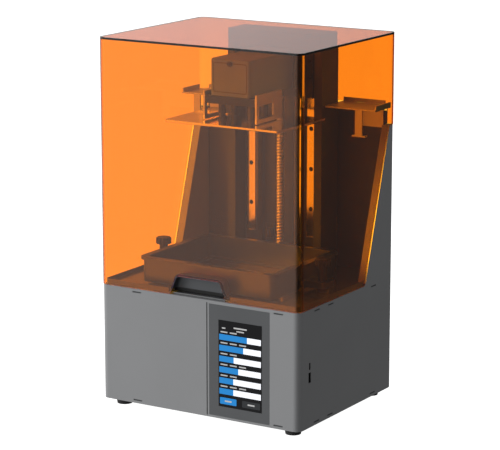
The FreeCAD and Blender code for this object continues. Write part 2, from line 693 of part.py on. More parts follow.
def pair(shape):
    return Part.makeCompound([shape, mirrored(shape)])


def join(shapes):
    result = shapes[0].multiFuse(shapes[1:])
    return result.removeSplitter()


def cut_all(shape, tools):
    return shape.cut(Part.makeCompound(tools))


def round_edges(shape, radius, wanted):
    edges = [edge for edge in shape.Edges if wanted(edge)]
    return shape.makeFillet(radius, edges)


def is_upright(edge):
    start = edge.Vertexes[0].Point
    end = edge.Vertexes[-1].Point
    flat = abs(start.x - end.x) < 1e-6 and abs(start.y - end.y) < 1e-6
    return flat and abs(start.z - end.z) > 1e-6


def runs_along_x(edge):
    return abs(edge.Vertexes[0].Point.x - edge.Vertexes[-1].Point.x) > 1e-6


def runs_along_y(edge):
    return abs(edge.Vertexes[0].Point.y - edge.Vertexes[-1].Point.y) > 1e-6


def along_x(edge, y, z):
    start = edge.Vertexes[0].Point
    end = edge.Vertexes[-1].Point
    level = abs(start.y - y) < 1e-6 and abs(end.y - y) < 1e-6
    return level and abs(start.z - z) < 1e-6 and abs(end.z - z) < 1e-6


# ---------------------------------------------------------------- base housing
def side_outline(foot_y, foot_z, step_y, step_z, back_y, bottom_z):
    """Side view of the base: low in front, with an upright that slants back."""
    return [
        (-HALF_Y - 1, bottom_z),
        (back_y, bottom_z),
        (back_y, step_z),
        (step_y, step_z),
        (foot_y, foot_z),
        (-HALF_Y - 1, foot_z),
    ]


def slant_y(z):
    share = (z - SHOULDER_Z) / (UPRIGHT_TOP_Z - SHOULDER_Z)
    return SLANT_FOOT_Y + LID_GAP + share * (SLANT_TOP_Y - SLANT_FOOT_Y)


def body_side():
    outline = side_outline(
        slant_y(SHOULDER_Z), SHOULDER_Z, slant_y(UPRIGHT_TOP_Z), UPRIGHT_TOP_Z, HALF_Y, PAN_Z
    )
    solid = side_prism(outline, -HALF_X, HALF_X)
    return round_edges(solid, SLANT_ROUND, lambda e: along_x(e, slant_y(SHOULDER_Z), SHOULDER_Z))


def body_room(z0, z1):
    """Space inside the bent housing sheet, with its four round upright corners."""
    return rounded_block(
        -BODY_INNER_X, BODY_INNER_X, -BODY_INNER_Y, BODY_INNER_Y, z0, z1, INNER_CORNER
    )


def tab_slots():
    """Slots where the tabs of the deck and of the pan show in the housing."""
    slots = []
    front_places = (-HALF_X + TAB_SLOT_LEFT_INSET, HALF_X - TAB_SLOT_RIGHT_INSET)
    first_y = -HALF_Y + TAB_SLOT_FIRST_Y
    side_places = (first_y, first_y + TAB_SLOT_PITCH_Y, HALF_Y - TAB_SLOT_REAR_INSET)
    for z in (SHOULDER_Z - TAB_SLOT_EDGE, PAN_Z + TAB_SLOT_EDGE - TAB_SLOT_HEIGHT):
        for x in front_places:
            slots.append(
                block(x, x + TAB_SLOT_LENGTH, -HALF_Y, -BODY_INNER_Y + 1, z, z + TAB_SLOT_HEIGHT)
            )
        for y in side_places:
            slot = block(BODY_INNER_X - 1, HALF_X, y, y + TAB_SLOT_LENGTH, z, z + TAB_SLOT_HEIGHT)
            slots.append(slot)
            slots.append(mirrored(slot))
    return slots


def base_shell():
    """Sheet bent round all four corners, with a flange under the lid and two at the back."""
    outer = rounded_block(
        -BODY_X, BODY_X, -BODY_Y, BODY_Y, PAN_Z, UPRIGHT_TOP_Z, CORNER_RADIUS
    )
    rear_gap = block(
        -UPRIGHT_INNER_X, UPRIGHT_INNER_X, BODY_INNER_Y - 1, HALF_Y, PAN_Z - 1, UPRIGHT_TOP_Z + 1
    )
    wrap = outer.cut(body_room(PAN_Z - 1, UPRIGHT_TOP_Z + 1)).common(body_side()).cut(rear_gap)
    flange_inner = block(
        -BODY_INNER_X + SHOULDER_FLANGE,
        BODY_INNER_X - SHOULDER_FLANGE,
        -BODY_INNER_Y + SHOULDER_FLANGE,
        HALF_Y,
        PAN_Z,
        HEIGHT,
    )
    behind_slant = block(-HALF_X, HALF_X, slant_y(SHOULDER_Z) - SHEET, HALF_Y + 1, PAN_Z, HEIGHT)
    flange = body_room(SHOULDER_Z - SHEET, SHOULDER_Z).cut(flange_inner).cut(behind_slant)
    shell = join([wrap, flange])
    openings = tab_slots()
    openings.append(
        block(SURROUND_X0, SURROUND_X1, -HALF_Y, -BODY_INNER_Y + 1, SURROUND_Z0, SURROUND_Z1)
    )
    for centre_z, height, width in (
        (USB_A_Z, USB_A_HEIGHT, USB_A_WIDTH),
        (USB_C_Z, USB_C_HEIGHT, USB_C_WIDTH),
    ):
        openings.append(
            block(
                BODY_INNER_X - 1,
                HALF_X,
                USB_Y - width / 2,
                USB_Y + width / 2,
                centre_z - height / 2,
                centre_z + height / 2,
            )
        )
    return cut_all(shell, openings)


def right_upright():
    """Folded channel that closes the slanted upright: front face, inner side and cap."""
    outline = [
        (slant_y(DECK_TOP_Z), DECK_TOP_Z),
        (REAR_INNER_Y, DECK_TOP_Z),
        (REAR_INNER_Y, UPRIGHT_TOP_Z),
        (slant_y(UPRIGHT_TOP_Z), UPRIGHT_TOP_Z),
    ]
    hollow = [
        (slant_y(DECK_TOP_Z) + SHEET, DECK_TOP_Z - 1),
        (REAR_INNER_Y + 1, DECK_TOP_Z - 1),
        (REAR_INNER_Y + 1, UPRIGHT_TOP_Z - SHEET),
        (slant_y(UPRIGHT_TOP_Z - SHEET) + SHEET, UPRIGHT_TOP_Z - SHEET),
    ]
    full = side_prism(outline, UPRIGHT_INNER_X, BODY_INNER_X)
    empty = side_prism(hollow, UPRIGHT_INNER_X + SHEET, BODY_INNER_X + 1)
    return full.cut(empty).common(body_room(DECK_TOP_Z, UPRIGHT_TOP_Z))


def base_pan():
    """Bottom sheet with folded edges, air slots under the lamp fan and foot holes."""
    top_z = PAN_Z + PAN_EDGE
    outer = body_room(PAN_Z, top_z)
    inner = rounded_block(
        -BODY_INNER_X + SHEET, BODY_INNER_X - SHEET, -BODY_INNER_Y + SHEET, BODY_INNER_Y - SHEET,
        PAN_TOP_Z, top_z + 1, INNER_CORNER - SHEET
    )
    rear_seat = block(-HALF_X, HALF_X, REAR_INNER_Y, HALF_Y, PAN_TOP_Z, top_z + 1)
    surround_room = block(
        SURROUND_X0 - SURROUND_FLANGE - 1,
        SURROUND_X1 + SURROUND_FLANGE + 1,
        -BODY_INNER_Y - 1,
        -BODY_INNER_Y + SHEET + 1,
        PAN_TOP_Z,
        top_z + 1,
    )
    pan = outer.cut(inner).cut(surround_room).cut(rear_seat)
    holes = []
    for x, y in foot_places():
        holes.append(small_rod(FOOT_SCREW_RADIUS + HOLE_GAP, Vector(x, y, PAN_Z - 1), Z_AXIS,
                               SHEET + 2))
    half_length = PAN_SLOT_LENGTH / 2
    half_width = PAN_SLOT_WIDTH / 2
    for index in range(PAN_SLOT_COUNT):
        y = SCREEN_MID_Y + (index - (PAN_SLOT_COUNT - 1) / 2) * PAN_SLOT_PITCH
        holes.append(block(-half_length, half_length, y - half_width, y + half_width,
                           PAN_Z - 1, PAN_TOP_Z + 1))
    return cut_all(pan, holes)


def foot_places():
    x = HALF_X - FOOT_INSET
    y = HALF_Y - FOOT_INSET
    return [(-x, -y), (x, -y), (x, y), (-x, y)]


def rubber_feet():
    feet = []
    for x, y in foot_places():
        foot = frustum(
            ring_points(FOOT_RADIUS_BOTTOM, Vector(x, y, 0), Z_AXIS, FOOT_SIDE_COUNT),
            ring_points(FOOT_RADIUS_TOP, Vector(x, y, FOOT_HEIGHT), Z_AXIS, FOOT_SIDE_COUNT),
        )
        pocket = small_rod(FOOT_POCKET_RADIUS, Vector(x, y, -1), Z_AXIS, FOOT_POCKET_DEPTH + 1)
        hole = small_rod(FOOT_SCREW_RADIUS + HOLE_GAP, Vector(x, y, 0), Z_AXIS, FOOT_HEIGHT + 1)
        feet.append(foot.cut(pocket).cut(hole))
    return Part.makeCompound(feet)


def foot_screws():
    screws = []
    for x, y in foot_places():
        head = small_rod(FOOT_SCREW_HEAD_RADIUS, Vector(x, y, FOOT_POCKET_DEPTH - FOOT_SCREW_HEAD),
                         Z_AXIS, FOOT_SCREW_HEAD)
        shank = small_rod(FOOT_SCREW_RADIUS, Vector(x, y, FOOT_POCKET_DEPTH), Z_AXIS,
                          FOOT_SCREW_LENGTH)
        screws.append(head.fuse(shank))
    return Part.makeCompound(screws)


def rear_panel():
    """Rear sheet: full width up to the uprights, narrower between them above."""
    half_low = BODY_INNER_X - INNER_CORNER
    low = block(-half_low, half_low, REAR_INNER_Y, BODY_INNER_Y, PAN_TOP_Z, UPRIGHT_TOP_Z)
    high = block(-UPRIGHT_INNER_X, UPRIGHT_INNER_X, REAR_INNER_Y, BODY_INNER_Y,
                 UPRIGHT_TOP_Z - 1, REAR_PANEL_TOP_Z)
    panel = join([low, high])
    y0 = REAR_INNER_Y - 1
    y1 = BODY_INNER_Y + 1
    openings = [
        block(INLET_X - INLET_BODY_X / 2, INLET_X + INLET_BODY_X / 2, y0, y1,
              INLET_Z - INLET_BODY_Z / 2, INLET_Z + INLET_BODY_Z / 2),
        block(INLET_X - SWITCH_BODY_X / 2, INLET_X + SWITCH_BODY_X / 2, y0, y1,
              SWITCH_Z - SWITCH_BODY_Z / 2, SWITCH_Z + SWITCH_BODY_Z / 2),
    ]
    openings += exhaust_slots(y0, y1)
    vent_x0 = EXHAUST_X + EXHAUST_FAN_SIZE / 2 + SHOULDER_FLANGE
    for index in range(VENT_COUNT):
        z = VENT_Z + index * VENT_PITCH
        openings.append(block(vent_x0, vent_x0 + VENT_LENGTH, y0, y1, z, z + VENT_HEIGHT))
    return cut_all(panel, openings)


def exhaust_slots(y0, y1):
    """Rings of arc slots in front of the exhaust fan, split by four spokes."""
    slots = []
    half = GRILLE_SPOKE / 2
    reach = EXHAUST_FAN_SIZE
    spokes = [
        block(EXHAUST_X - half, EXHAUST_X + half, y0, y1, EXHAUST_Z - reach, EXHAUST_Z + reach),
        block(EXHAUST_X - reach, EXHAUST_X + reach, y0, y1, EXHAUST_Z - half, EXHAUST_Z + half),
    ]
    outer_radius = EXHAUST_FAN_SIZE / 2 - FAN_WALL - FAN_TIP_GAP
    for index in range(GRILLE_RING_COUNT):
        start = Vector(EXHAUST_X, y0, EXHAUST_Z)
        radius = outer_radius - index * GRILLE_PITCH
        ring = small_rod(radius, start, Y_AXIS, y1 - y0, FAN_SIDE_COUNT)
        ring = ring.cut(small_rod(radius - GRILLE_SLOT, start, Y_AXIS, y1 - y0, FAN_SIDE_COUNT))
        slots.append(cut_all(ring, spokes))
    return slots


# ---------------------------------------------------------------- deck and exposure screen
def deck_plate():
    """Deck under the lid with a raised lip, notched round the uprights and the handle."""
    half_x = LID_INNER_X - DECK_LIP_GAP
    front_y = -LID_INNER_Y + DECK_LIP_GAP
    radius = CORNER_RADIUS - ACRYLIC
    lip_top_z = SHOULDER_Z + DECK_LIP_HEIGHT
    sheet = rounded_block(-half_x, half_x, front_y, HALF_Y, SHOULDER_Z, DECK_TOP_Z, radius)
    lip_outer = rounded_block(-half_x, half_x, front_y, HALF_Y, SHOULDER_Z, lip_top_z, radius)
    lip_inner = rounded_block(-half_x + SHEET, half_x - SHEET, front_y + SHEET, HALF_Y + radius,
                              SHOULDER_Z - 1, lip_top_z + 1, radius - SHEET)
    slant_clear_y = slant_y(SHOULDER_Z) - 2 * LID_GAP
    lip_back = block(-HALF_X, HALF_X, slant_clear_y, HALF_Y + 1, SHOULDER_Z - 1, HEIGHT)
    handle_half = HANDLE_HALF_BOTTOM + HANDLE_WALL + DECK_LIP_GAP
    handle_gap = block(-handle_half, handle_half, front_y - 1, front_y + 2 * SHEET,
                       DECK_TOP_Z, HEIGHT)
    lip = lip_outer.cut(lip_inner).cut(lip_back).cut(handle_gap)
    stud_z = DECK_TOP_Z - KNOB_STUD_DEPTH
    bosses = []
    for x in (-KNOB_X, KNOB_X):
        bosses.append(rod(KNOB_STUD_RADIUS + DECK_BOSS_WALL, Vector(x, EAR_Y, stud_z), Z_AXIS,
                          EAR_Z0 - TOUCH - stud_z))
    deck = join([sheet, lip] + bosses)
    trims = [
        block(-HALF_X, HALF_X, REAR_INNER_Y, HALF_Y + 1, SHOULDER_Z - 1, HEIGHT),
        block(-SCREEN_HALF_X, SCREEN_HALF_X, SCREEN_FRONT_Y, SCREEN_BACK_Y,
              SHOULDER_Z - 1, DECK_TOP_Z + 1),
        rod(MOTOR_PILOT_RADIUS + TOUCH, Vector(0, SCREW_Y, SHOULDER_Z - 1), Z_AXIS,
            DECK_THICKNESS + 2),
    ]
    for x in (-KNOB_X, KNOB_X):
        trims.append(rod(KNOB_STUD_RADIUS + RUNNING_GAP, Vector(x, EAR_Y, stud_z - 1), Z_AXIS,
                         EAR_Z0 - stud_z + 1))
    return cut_all(deck, trims).common(body_room(stud_z, HEIGHT))


def exposure_screen():
    """Masking screen: glass on a shallow carrier that seats on the light box."""
    return block(-SCREEN_HALF_X, SCREEN_HALF_X, SCREEN_FRONT_Y, SCREEN_BACK_Y,
                 SHOULDER_Z, SCREEN_TOP_Z)


# ---------------------------------------------------------------- light engine
def box_corners(half_x, half_y, z):
    return [
        Vector(-half_x, SCREEN_MID_Y - half_y, z),
        Vector(half_x, SCREEN_MID_Y - half_y, z),
        Vector(half_x, SCREEN_MID_Y + half_y, z),
        Vector(-half_x, SCREEN_MID_Y + half_y, z),
    ]


def light_funnel(inset):
    return frustum(
        box_corners(LIGHT_BOX_HALF_FLOOR_X - inset, LIGHT_BOX_HALF_FLOOR_Y - inset,
                    LIGHT_BOX_FLOOR_Z),
        box_corners(LIGHT_BOX_HALF_TOP_X - inset, LIGHT_BOX_HALF_TOP_Y - inset, SHOULDER_Z),
    )


def light_box():
    """Funnel between the lamp and the exposure screen, with a flange under the deck."""
    reach_x = LIGHT_BOX_HALF_TOP_X + LIGHT_BOX_FLANGE
    reach_y = LIGHT_BOX_HALF_TOP_Y + LIGHT_BOX_FLANGE
    flange = block(-reach_x, reach_x, SCREEN_MID_Y - reach_y, SCREEN_MID_Y + reach_y,
                   SHOULDER_Z - LIGHT_BOX_WALL, SHOULDER_Z)
    return join([light_funnel(0.0), flange]).cut(light_funnel(LIGHT_BOX_WALL))


def lens_array():
    """Clear plate with one lens over each light chip, standing on four legs."""
    z0 = LIGHT_BOX_FLOOR_Z + LENS_PLATE_RISE
    z1 = z0 + LENS_PLATE_THICKNESS
    half_x = LIGHT_BOX_HALF_FLOOR_X - LIGHT_BOX_WALL - TOUCH
    half_y = LIGHT_BOX_HALF_FLOOR_Y - LIGHT_BOX_WALL - TOUCH
    plate = block(-half_x, half_x, SCREEN_MID_Y - half_y, SCREEN_MID_Y + half_y, z0, z1)
    legs = []
    for x in (-half_x, half_x - LENS_LEG):
        for y in (SCREEN_MID_Y - half_y, SCREEN_MID_Y + half_y - LENS_LEG):
            legs.append(block(x, x + LENS_LEG, y, y + LENS_LEG, LIGHT_BOX_FLOOR_Z, z0))
    lenses = []
    for x, y in led_places():
        lenses.append(frustum(
            square_corners(x, y, LENS_HALF, z1),
            square_corners(x, y, LENS_TOP_HALF, z1 + LENS_RISE),
        ))
    return join([plate] + legs + lenses)


def square_corners(x, y, half, z):
    return [
        Vector(x - half, y - half, z),
        Vector(x + half, y - half, z),
        Vector(x + half, y + half, z),
        Vector(x - half, y + half, z),
    ]


def led_places():
    places = []
    for column in range(LED_COLUMNS):
        for row in range(LED_ROWS):
            x = (column - (LED_COLUMNS - 1) / 2) * LED_PITCH
            y = SCREEN_MID_Y + (row - (LED_ROWS - 1) / 2) * LED_PITCH
            places.append((x, y))
    return places


def led_board():
    return block(-LIGHT_BOX_HALF_FLOOR_X, LIGHT_BOX_HALF_FLOOR_X,
                 SCREEN_MID_Y - LIGHT_BOX_HALF_FLOOR_Y, SCREEN_MID_Y + LIGHT_BOX_HALF_FLOOR_Y,
                 HEAT_SINK_TOP_Z, LIGHT_BOX_FLOOR_Z)


def led_chips():
    half = LED_SIZE / 2
    chips = []
    for x, y in led_places():
        chips.append(block(x - half, x + half, y - half, y + half,
                           LIGHT_BOX_FLOOR_Z, LIGHT_BOX_FLOOR_Z + LED_HEIGHT))
    return Part.makeCompound(chips)


def heat_sink():
    half_x = LIGHT_BOX_HALF_FLOOR_X
    half_y = LIGHT_BOX_HALF_FLOOR_Y + HEAT_SINK_OVERHANG
    base = block(-half_x, half_x, SCREEN_MID_Y - half_y, SCREEN_MID_Y + half_y,
                 HEAT_SINK_TOP_Z - HEAT_SINK_BASE, HEAT_SINK_TOP_Z)
    pitch = (2 * half_x - HEAT_SINK_FIN) / (HEAT_SINK_FINS - 1)
    fins = []
    for index in range(HEAT_SINK_FINS):
        x = -half_x + index * pitch
        fins.append(block(x, x + HEAT_SINK_FIN, SCREEN_MID_Y - half_y, SCREEN_MID_Y + half_y,
                          HEAT_SINK_BOTTOM_Z, HEAT_SINK_TOP_Z - HEAT_SINK_BASE))
    return join([base] + fins)


# ---------------------------------------------------------------- fans
def fan_frame(size, thickness):
    """Square fan frame at the origin, axis along Z, with a motor mount on four struts."""
    half = size / 2
    bore = half - FAN_WALL
    hub = half * FAN_HUB_RATIO
    corner = size * FAN_CORNER_RATIO
    outline = [
        (half, -half + corner), (half, half - corner), (half - corner, half),
        (-half + corner, half), (-half, half - corner), (-half, -half + corner),
        (-half + corner, -half), (half - corner, -half),
    ]
    frame = polygon([Vector(x, y, 0) for x, y in outline]).extrude(Vector(0, 0, thickness))
    frame = frame.cut(small_rod(bore, Vector(0, 0, -1), Z_AXIS, thickness + 2, FAN_SIDE_COUNT))
    mount = small_rod(hub, Vector(0, 0, 0), Z_AXIS, FAN_MOUNT, FAN_SIDE_COUNT)
    strut = block(-bore - TOUCH, bore + TOUCH, -FAN_STRUT / 2, FAN_STRUT / 2, 0, FAN_MOUNT)
    struts = [strut.copy(), strut.copy()]
    struts[0].rotate(Vector(0, 0, 0), Z_AXIS, 45)
    struts[1].rotate(Vector(0, 0, 0), Z_AXIS, 135)
    bearing_hole = rod(FAN_SHAFT_RADIUS + RUNNING_GAP, Vector(0, 0, -1), Z_AXIS, FAN_MOUNT + 2)
    return join([frame, mount] + struts).cut(bearing_hole)


def fan_rotor(size, thickness):
    """Hub cup with raked blades and the shaft that turns in the frame's mount."""
    half = size / 2
    tip = half - FAN_WALL - FAN_TIP_GAP
    hub = half * FAN_HUB_RATIO
    z0 = FAN_MOUNT + FAN_END_GAP
    z1 = thickness - FAN_END_GAP
    cup = small_rod(hub, Vector(0, 0, z0), Z_AXIS, z1 - z0, FAN_SIDE_COUNT)
    shaft = rod(FAN_SHAFT_RADIUS, Vector(0, 0, TOUCH), Z_AXIS, z0)
    blade_z0 = z0 + FAN_END_GAP
    blade_z1 = z1 - FAN_END_GAP
    rake = (blade_z1 - blade_z0) / 2
    root = hub * 0.9
    blades = []
    for index in range(FAN_BLADES):
        outline = [
            Vector(root, -rake, blade_z0),
            Vector(root, -rake + FAN_BLADE, blade_z0),
            Vector(root, rake + FAN_BLADE, blade_z1),
            Vector(root, rake, blade_z1),
        ]
        blade = polygon(outline).extrude(Vector(tip - root + 1, 0, 0))
        blade.rotate(Vector(0, 0, 0), Z_AXIS, index * 360.0 / FAN_BLADES)
        blades.append(blade)
    rotor = join([cup] + blades)
    rotor = rotor.common(small_rod(tip, Vector(0, 0, z0), Z_AXIS, z1 - z0, FAN_SIDE_COUNT))
    return join([rotor, shaft])


def place_lamp_fan(shape):
    shape.translate(Vector(0, SCREEN_MID_Y, HEAT_SINK_BOTTOM_Z - LAMP_FAN_THICKNESS))
    return shape


def place_exhaust_fan(shape):
    shape.rotate(Vector(0, 0, 0), X_AXIS, -90)
    shape.translate(Vector(EXHAUST_X, REAR_INNER_Y - EXHAUST_FAN_THICKNESS, EXHAUST_Z))
    return shape


# ---------------------------------------------------------------- front screen
def screen_surround():
    front_y = -BODY_Y
    back_y = front_y + SURROUND_THICKNESS
    panel = block(SURROUND_X0, SURROUND_X1, front_y, back_y, SURROUND_Z0, SURROUND_Z1)
    flange = block(SURROUND_X0 - SURROUND_FLANGE, SURROUND_X1 + SURROUND_FLANGE,
                   front_y + SHEET, back_y, SURROUND_Z0 - SURROUND_LAP, SURROUND_Z1 + SURROUND_LAP)
    window = block(GLASS_X0, GLASS_X1, front_y - 1, front_y + GLASS_THICKNESS - GLASS_PROUD,
                   GLASS_Z0, GLASS_Z1)
    module_room = block(GLASS_X0 + MODULE_MARGIN, GLASS_X1 - MODULE_MARGIN, front_y, back_y + 1,
                        GLASS_Z0 + MODULE_MARGIN, GLASS_Z1 - MODULE_MARGIN)
    return cut_all(join([panel, flange]), [window, module_room])


def touchscreen_glass():
    front_y = -BODY_Y - GLASS_PROUD
    return block(GLASS_X0, GLASS_X1, front_y, front_y + GLASS_THICKNESS, GLASS_Z0, GLASS_Z1)


def display_module():
    """Display behind the glass, with three chips on its back."""
    front_y = -BODY_Y + GLASS_THICKNESS - GLASS_PROUD
    back_y = front_y + MODULE_THICKNESS
    module = block(GLASS_X0 + MODULE_MARGIN, GLASS_X1 - MODULE_MARGIN, front_y, back_y,
                   GLASS_Z0 + MODULE_MARGIN, GLASS_Z1 - MODULE_MARGIN)
    half = MODULE_CHIP / 2
    x = (GLASS_X0 + GLASS_X1) / 2
    chips = []
    for share in (0.25, 0.5, 0.75):
        z = GLASS_Z0 + share * GLASS_HEIGHT
        chips.append(block(x - half, x + half, back_y, back_y + MODULE_CHIP_HEIGHT,
                           z - half, z + half))
    return join([module] + chips)


# ---------------------------------------------------------------- sockets
def usb_socket(centre_z, height, width, depth, tongue):
    """Metal socket shell in the right wall with its contact tongue."""
    outer_x = BODY_X - USB_SETBACK
    back_x = outer_x - depth
    half_h = height / 2 - USB_CLEARANCE
    half_w = width / 2 - USB_CLEARANCE
    floor_x = back_x + USB_SETBACK + TOUCH
    inset = height / 6
    shell = block(back_x, outer_x, USB_Y - half_w, USB_Y + half_w,
                  centre_z - half_h, centre_z + half_h)
    hollow = block(floor_x, outer_x + 1, USB_Y - half_w + USB_SHELL, USB_Y + half_w - USB_SHELL,
                   centre_z - half_h + USB_SHELL, centre_z + half_h - USB_SHELL)
    blade = block(back_x + TOUCH, outer_x - SHEET, USB_Y - tongue / 2, USB_Y + tongue / 2,
                  centre_z - half_h + inset, centre_z + half_h - inset)
    foot = block(back_x, BODY_INNER_X, USB_Y + half_w, USB_Y + half_w + USB_FOOT,
                 centre_z - half_h, centre_z + half_h)
    return join([shell.cut(hollow), blade, foot])


# ---------------------------------------------------------------- rear connections
def power_inlet():
    """Three-pin mains inlet: shroud, flange and pins."""
    rear_y = BODY_INNER_Y
    floor_y = rear_y - INLET_DEPTH
    half_x = INLET_BODY_X / 2 - USB_CLEARANCE
    half_z = INLET_BODY_Z / 2 - USB_CLEARANCE
    body = block(INLET_X - half_x, INLET_X + half_x, floor_y, rear_y,
                 INLET_Z - half_z, INLET_Z + half_z)
    flange = rounded_flange(INLET_X, INLET_Z, INLET_FLANGE_X, INLET_FLANGE_Z, rear_y,
                            rear_y + INLET_FLANGE_THICKNESS)
    cavity_x = half_x - INLET_WALL
    cavity_z = half_z - INLET_WALL
    cavity = front_prism(
        [
            (INLET_X - cavity_x, INLET_Z - cavity_z),
            (INLET_X + cavity_x, INLET_Z - cavity_z),
            (INLET_X + cavity_x, INLET_Z + cavity_z - INLET_CHAMFER),
            (INLET_X + cavity_x - INLET_CHAMFER, INLET_Z + cavity_z),
            (INLET_X - cavity_x + INLET_CHAMFER, INLET_Z + cavity_z),
            (INLET_X - cavity_x, INLET_Z + cavity_z - INLET_CHAMFER),
        ],
        floor_y + INLET_FLOOR,
        rear_y + INLET_FLANGE_THICKNESS + 1,
    )
    pins = []
    low_z = INLET_Z - INLET_PIN_HEIGHT * 0.9
    for x, z in ((-INLET_PIN_PITCH, low_z), (0.0, INLET_Z), (INLET_PIN_PITCH, low_z)):
        pins.append(block(INLET_X + x - INLET_PIN_HALF, INLET_X + x + INLET_PIN_HALF,
                          floor_y - INLET_PIN_TAIL, rear_y - INLET_PIN_SETBACK,
                          z, z + INLET_PIN_HEIGHT))
    holes = []
    for x in (-INLET_SCREW_X, INLET_SCREW_X):
        holes.append(small_rod(INLET_SCREW_RADIUS, Vector(INLET_X + x, rear_y - 1, INLET_Z),
                               Y_AXIS, INLET_FLANGE_THICKNESS + 2))
    shroud = cut_all(join([body, flange]), [cavity] + holes)
    return join([shroud] + pins)


def rounded_flange(centre_x, centre_z, size_x, size_z, y0, y1):
    flange = block(centre_x - size_x / 2, centre_x + size_x / 2, y0, y1,
                   centre_z - size_z / 2, centre_z + size_z / 2)
    return round_edges(flange, min(size_x, size_z) * 0.15, runs_along_y)


def switch_housing():
    rear_y = BODY_INNER_Y
    floor_y = rear_y - SWITCH_DEPTH
    half_x = SWITCH_BODY_X / 2 - USB_CLEARANCE
    half_z = SWITCH_BODY_Z / 2 - USB_CLEARANCE
    body = block(INLET_X - half_x, INLET_X + half_x, floor_y, rear_y,
                 SWITCH_Z - half_z, SWITCH_Z + half_z)
    flange = block(INLET_X - half_x - SWITCH_FLANGE, INLET_X + half_x + SWITCH_FLANGE,
                   rear_y, rear_y + INLET_FLANGE_THICKNESS, SWITCH_Z - half_z - SWITCH_FLANGE,
                   SWITCH_Z + half_z + SWITCH_FLANGE)
    room = block(INLET_X - half_x + SWITCH_WALL_X, INLET_X + half_x - SWITCH_WALL_X,
                 floor_y + SWITCH_FLOOR, rear_y + 2,
                 SWITCH_Z - half_z + SWITCH_WALL_Z, SWITCH_Z + half_z - SWITCH_WALL_Z)
    pivot = rod(ROCKER_PIVOT_RADIUS + RUNNING_GAP,
                Vector(INLET_X - SWITCH_BODY_X, rear_y - ROCKER_PIVOT_DEPTH, SWITCH_Z),
                X_AXIS, 2 * SWITCH_BODY_X)
    tabs = []
    for z in (-SWITCH_BODY_Z / 3, 0.0, SWITCH_BODY_Z / 3):
        tabs.append(block(INLET_X - 3 * SWITCH_WALL_X / 2, INLET_X + 3 * SWITCH_WALL_X / 2,
                          floor_y - SWITCH_TAB, floor_y,
                          SWITCH_Z + z - USB_SHELL, SWITCH_Z + z + USB_SHELL))
    return join([cut_all(join([body, flange]), [room, pivot])] + tabs)


def switch_rocker():
    """Rocker tilted to its off side, on a pivot that turns in the housing."""
    half_x = SWITCH_BODY_X / 2 - USB_CLEARANCE - SWITCH_WALL_X - ROCKER_GAP
    half_z = SWITCH_BODY_Z / 2 - USB_CLEARANCE - SWITCH_WALL_Z - ROCKER_END_GAP
    pivot_y = BODY_INNER_Y - ROCKER_PIVOT_DEPTH
    outline = [
        (pivot_y - ROCKER_BACK, SWITCH_Z - ROCKER_BACK_HALF),
        (pivot_y + ROCKER_EDGE, SWITCH_Z - half_z),
        (pivot_y + ROCKER_FACE, SWITCH_Z - half_z),
        (pivot_y + ROCKER_FACE - ROCKER_DISH, SWITCH_Z),
        (pivot_y + ROCKER_FACE, SWITCH_Z + half_z),
        (pivot_y + ROCKER_EDGE, SWITCH_Z + half_z),
        (pivot_y - ROCKER_BACK, SWITCH_Z + ROCKER_BACK_HALF),
    ]
    paddle = side_prism(outline, INLET_X - half_x, INLET_X + half_x)
    axle = rod(ROCKER_PIVOT_RADIUS, Vector(INLET_X - half_x - ROCKER_PIVOT_REACH, pivot_y, SWITCH_Z),
               X_AXIS, 2 * half_x + 2 * ROCKER_PIVOT_REACH)
    rocker = join([paddle, axle])
    rocker.rotate(Vector(INLET_X, pivot_y, SWITCH_Z), X_AXIS, ROCKER_TILT)
    return rocker


# ---------------------------------------------------------------- electronics in the base
def mainboard():
    board = block(BOARD_FACE_X - BOARD_THICKNESS, BOARD_FACE_X, BOARD_FRONT_Y, BOARD_BACK_Y,
                  BOARD_Z0, BOARD_Z1)
    posts = []
    for y in (BOARD_FRONT_Y + BOARD_POST_INSET, BOARD_BACK_Y - BOARD_POST_INSET):
        for z in (BOARD_Z0 + BOARD_POST_INSET, BOARD_Z1 - BOARD_POST_INSET):
            posts.append(small_rod(BOARD_POST_RADIUS, Vector(-BODY_INNER_X, y, z), X_AXIS,
                                   BOARD_STAND_OFF))
    return join([board] + posts)


def board_part(share_y, share_z, length, height, depth):
    """Block on the board, placed by shares of the board's length and height."""
    y = BOARD_FRONT_Y + share_y * BOARD_LENGTH
    z = BOARD_Z0 + share_z * BOARD_HEIGHT
    return block(BOARD_FACE_X, BOARD_FACE_X + depth, y, y + length, z, z + height)


def mainboard_parts():
    terminal_height = BOARD_HEIGHT * 0.55
    pieces = [
        board_part(0.42, 0.44, PROCESSOR_SIZE, PROCESSOR_SIZE, PROCESSOR_HEIGHT),
        board_part(0.62, 0.46, DRIVER_SIZE, DRIVER_SIZE, DRIVER_HEIGHT),
        board_part(0.10, 0.32, SINK_WIDTH, SINK_LENGTH, SINK_HEIGHT),
        board_part(0.34, 0.03, SOCKET_ROW_LENGTH, SOCKET_ROW_WIDTH, SOCKET_ROW_HEIGHT),
        board_part(0.82, 0.20, TERMINAL_WIDTH, terminal_height, SOCKET_ROW_HEIGHT),
    ]
    for index in range(3):
        y = BOARD_FRONT_Y + BOARD_LENGTH / 2 + index * CAPACITOR_PITCH
        z = BOARD_Z1 - BOARD_POST_INSET - 2 * CAPACITOR_RADIUS
        pieces.append(small_rod(CAPACITOR_RADIUS, Vector(BOARD_FACE_X, y, z), X_AXIS,
                                CAPACITOR_HEIGHT))
    return Part.makeCompound(pieces)


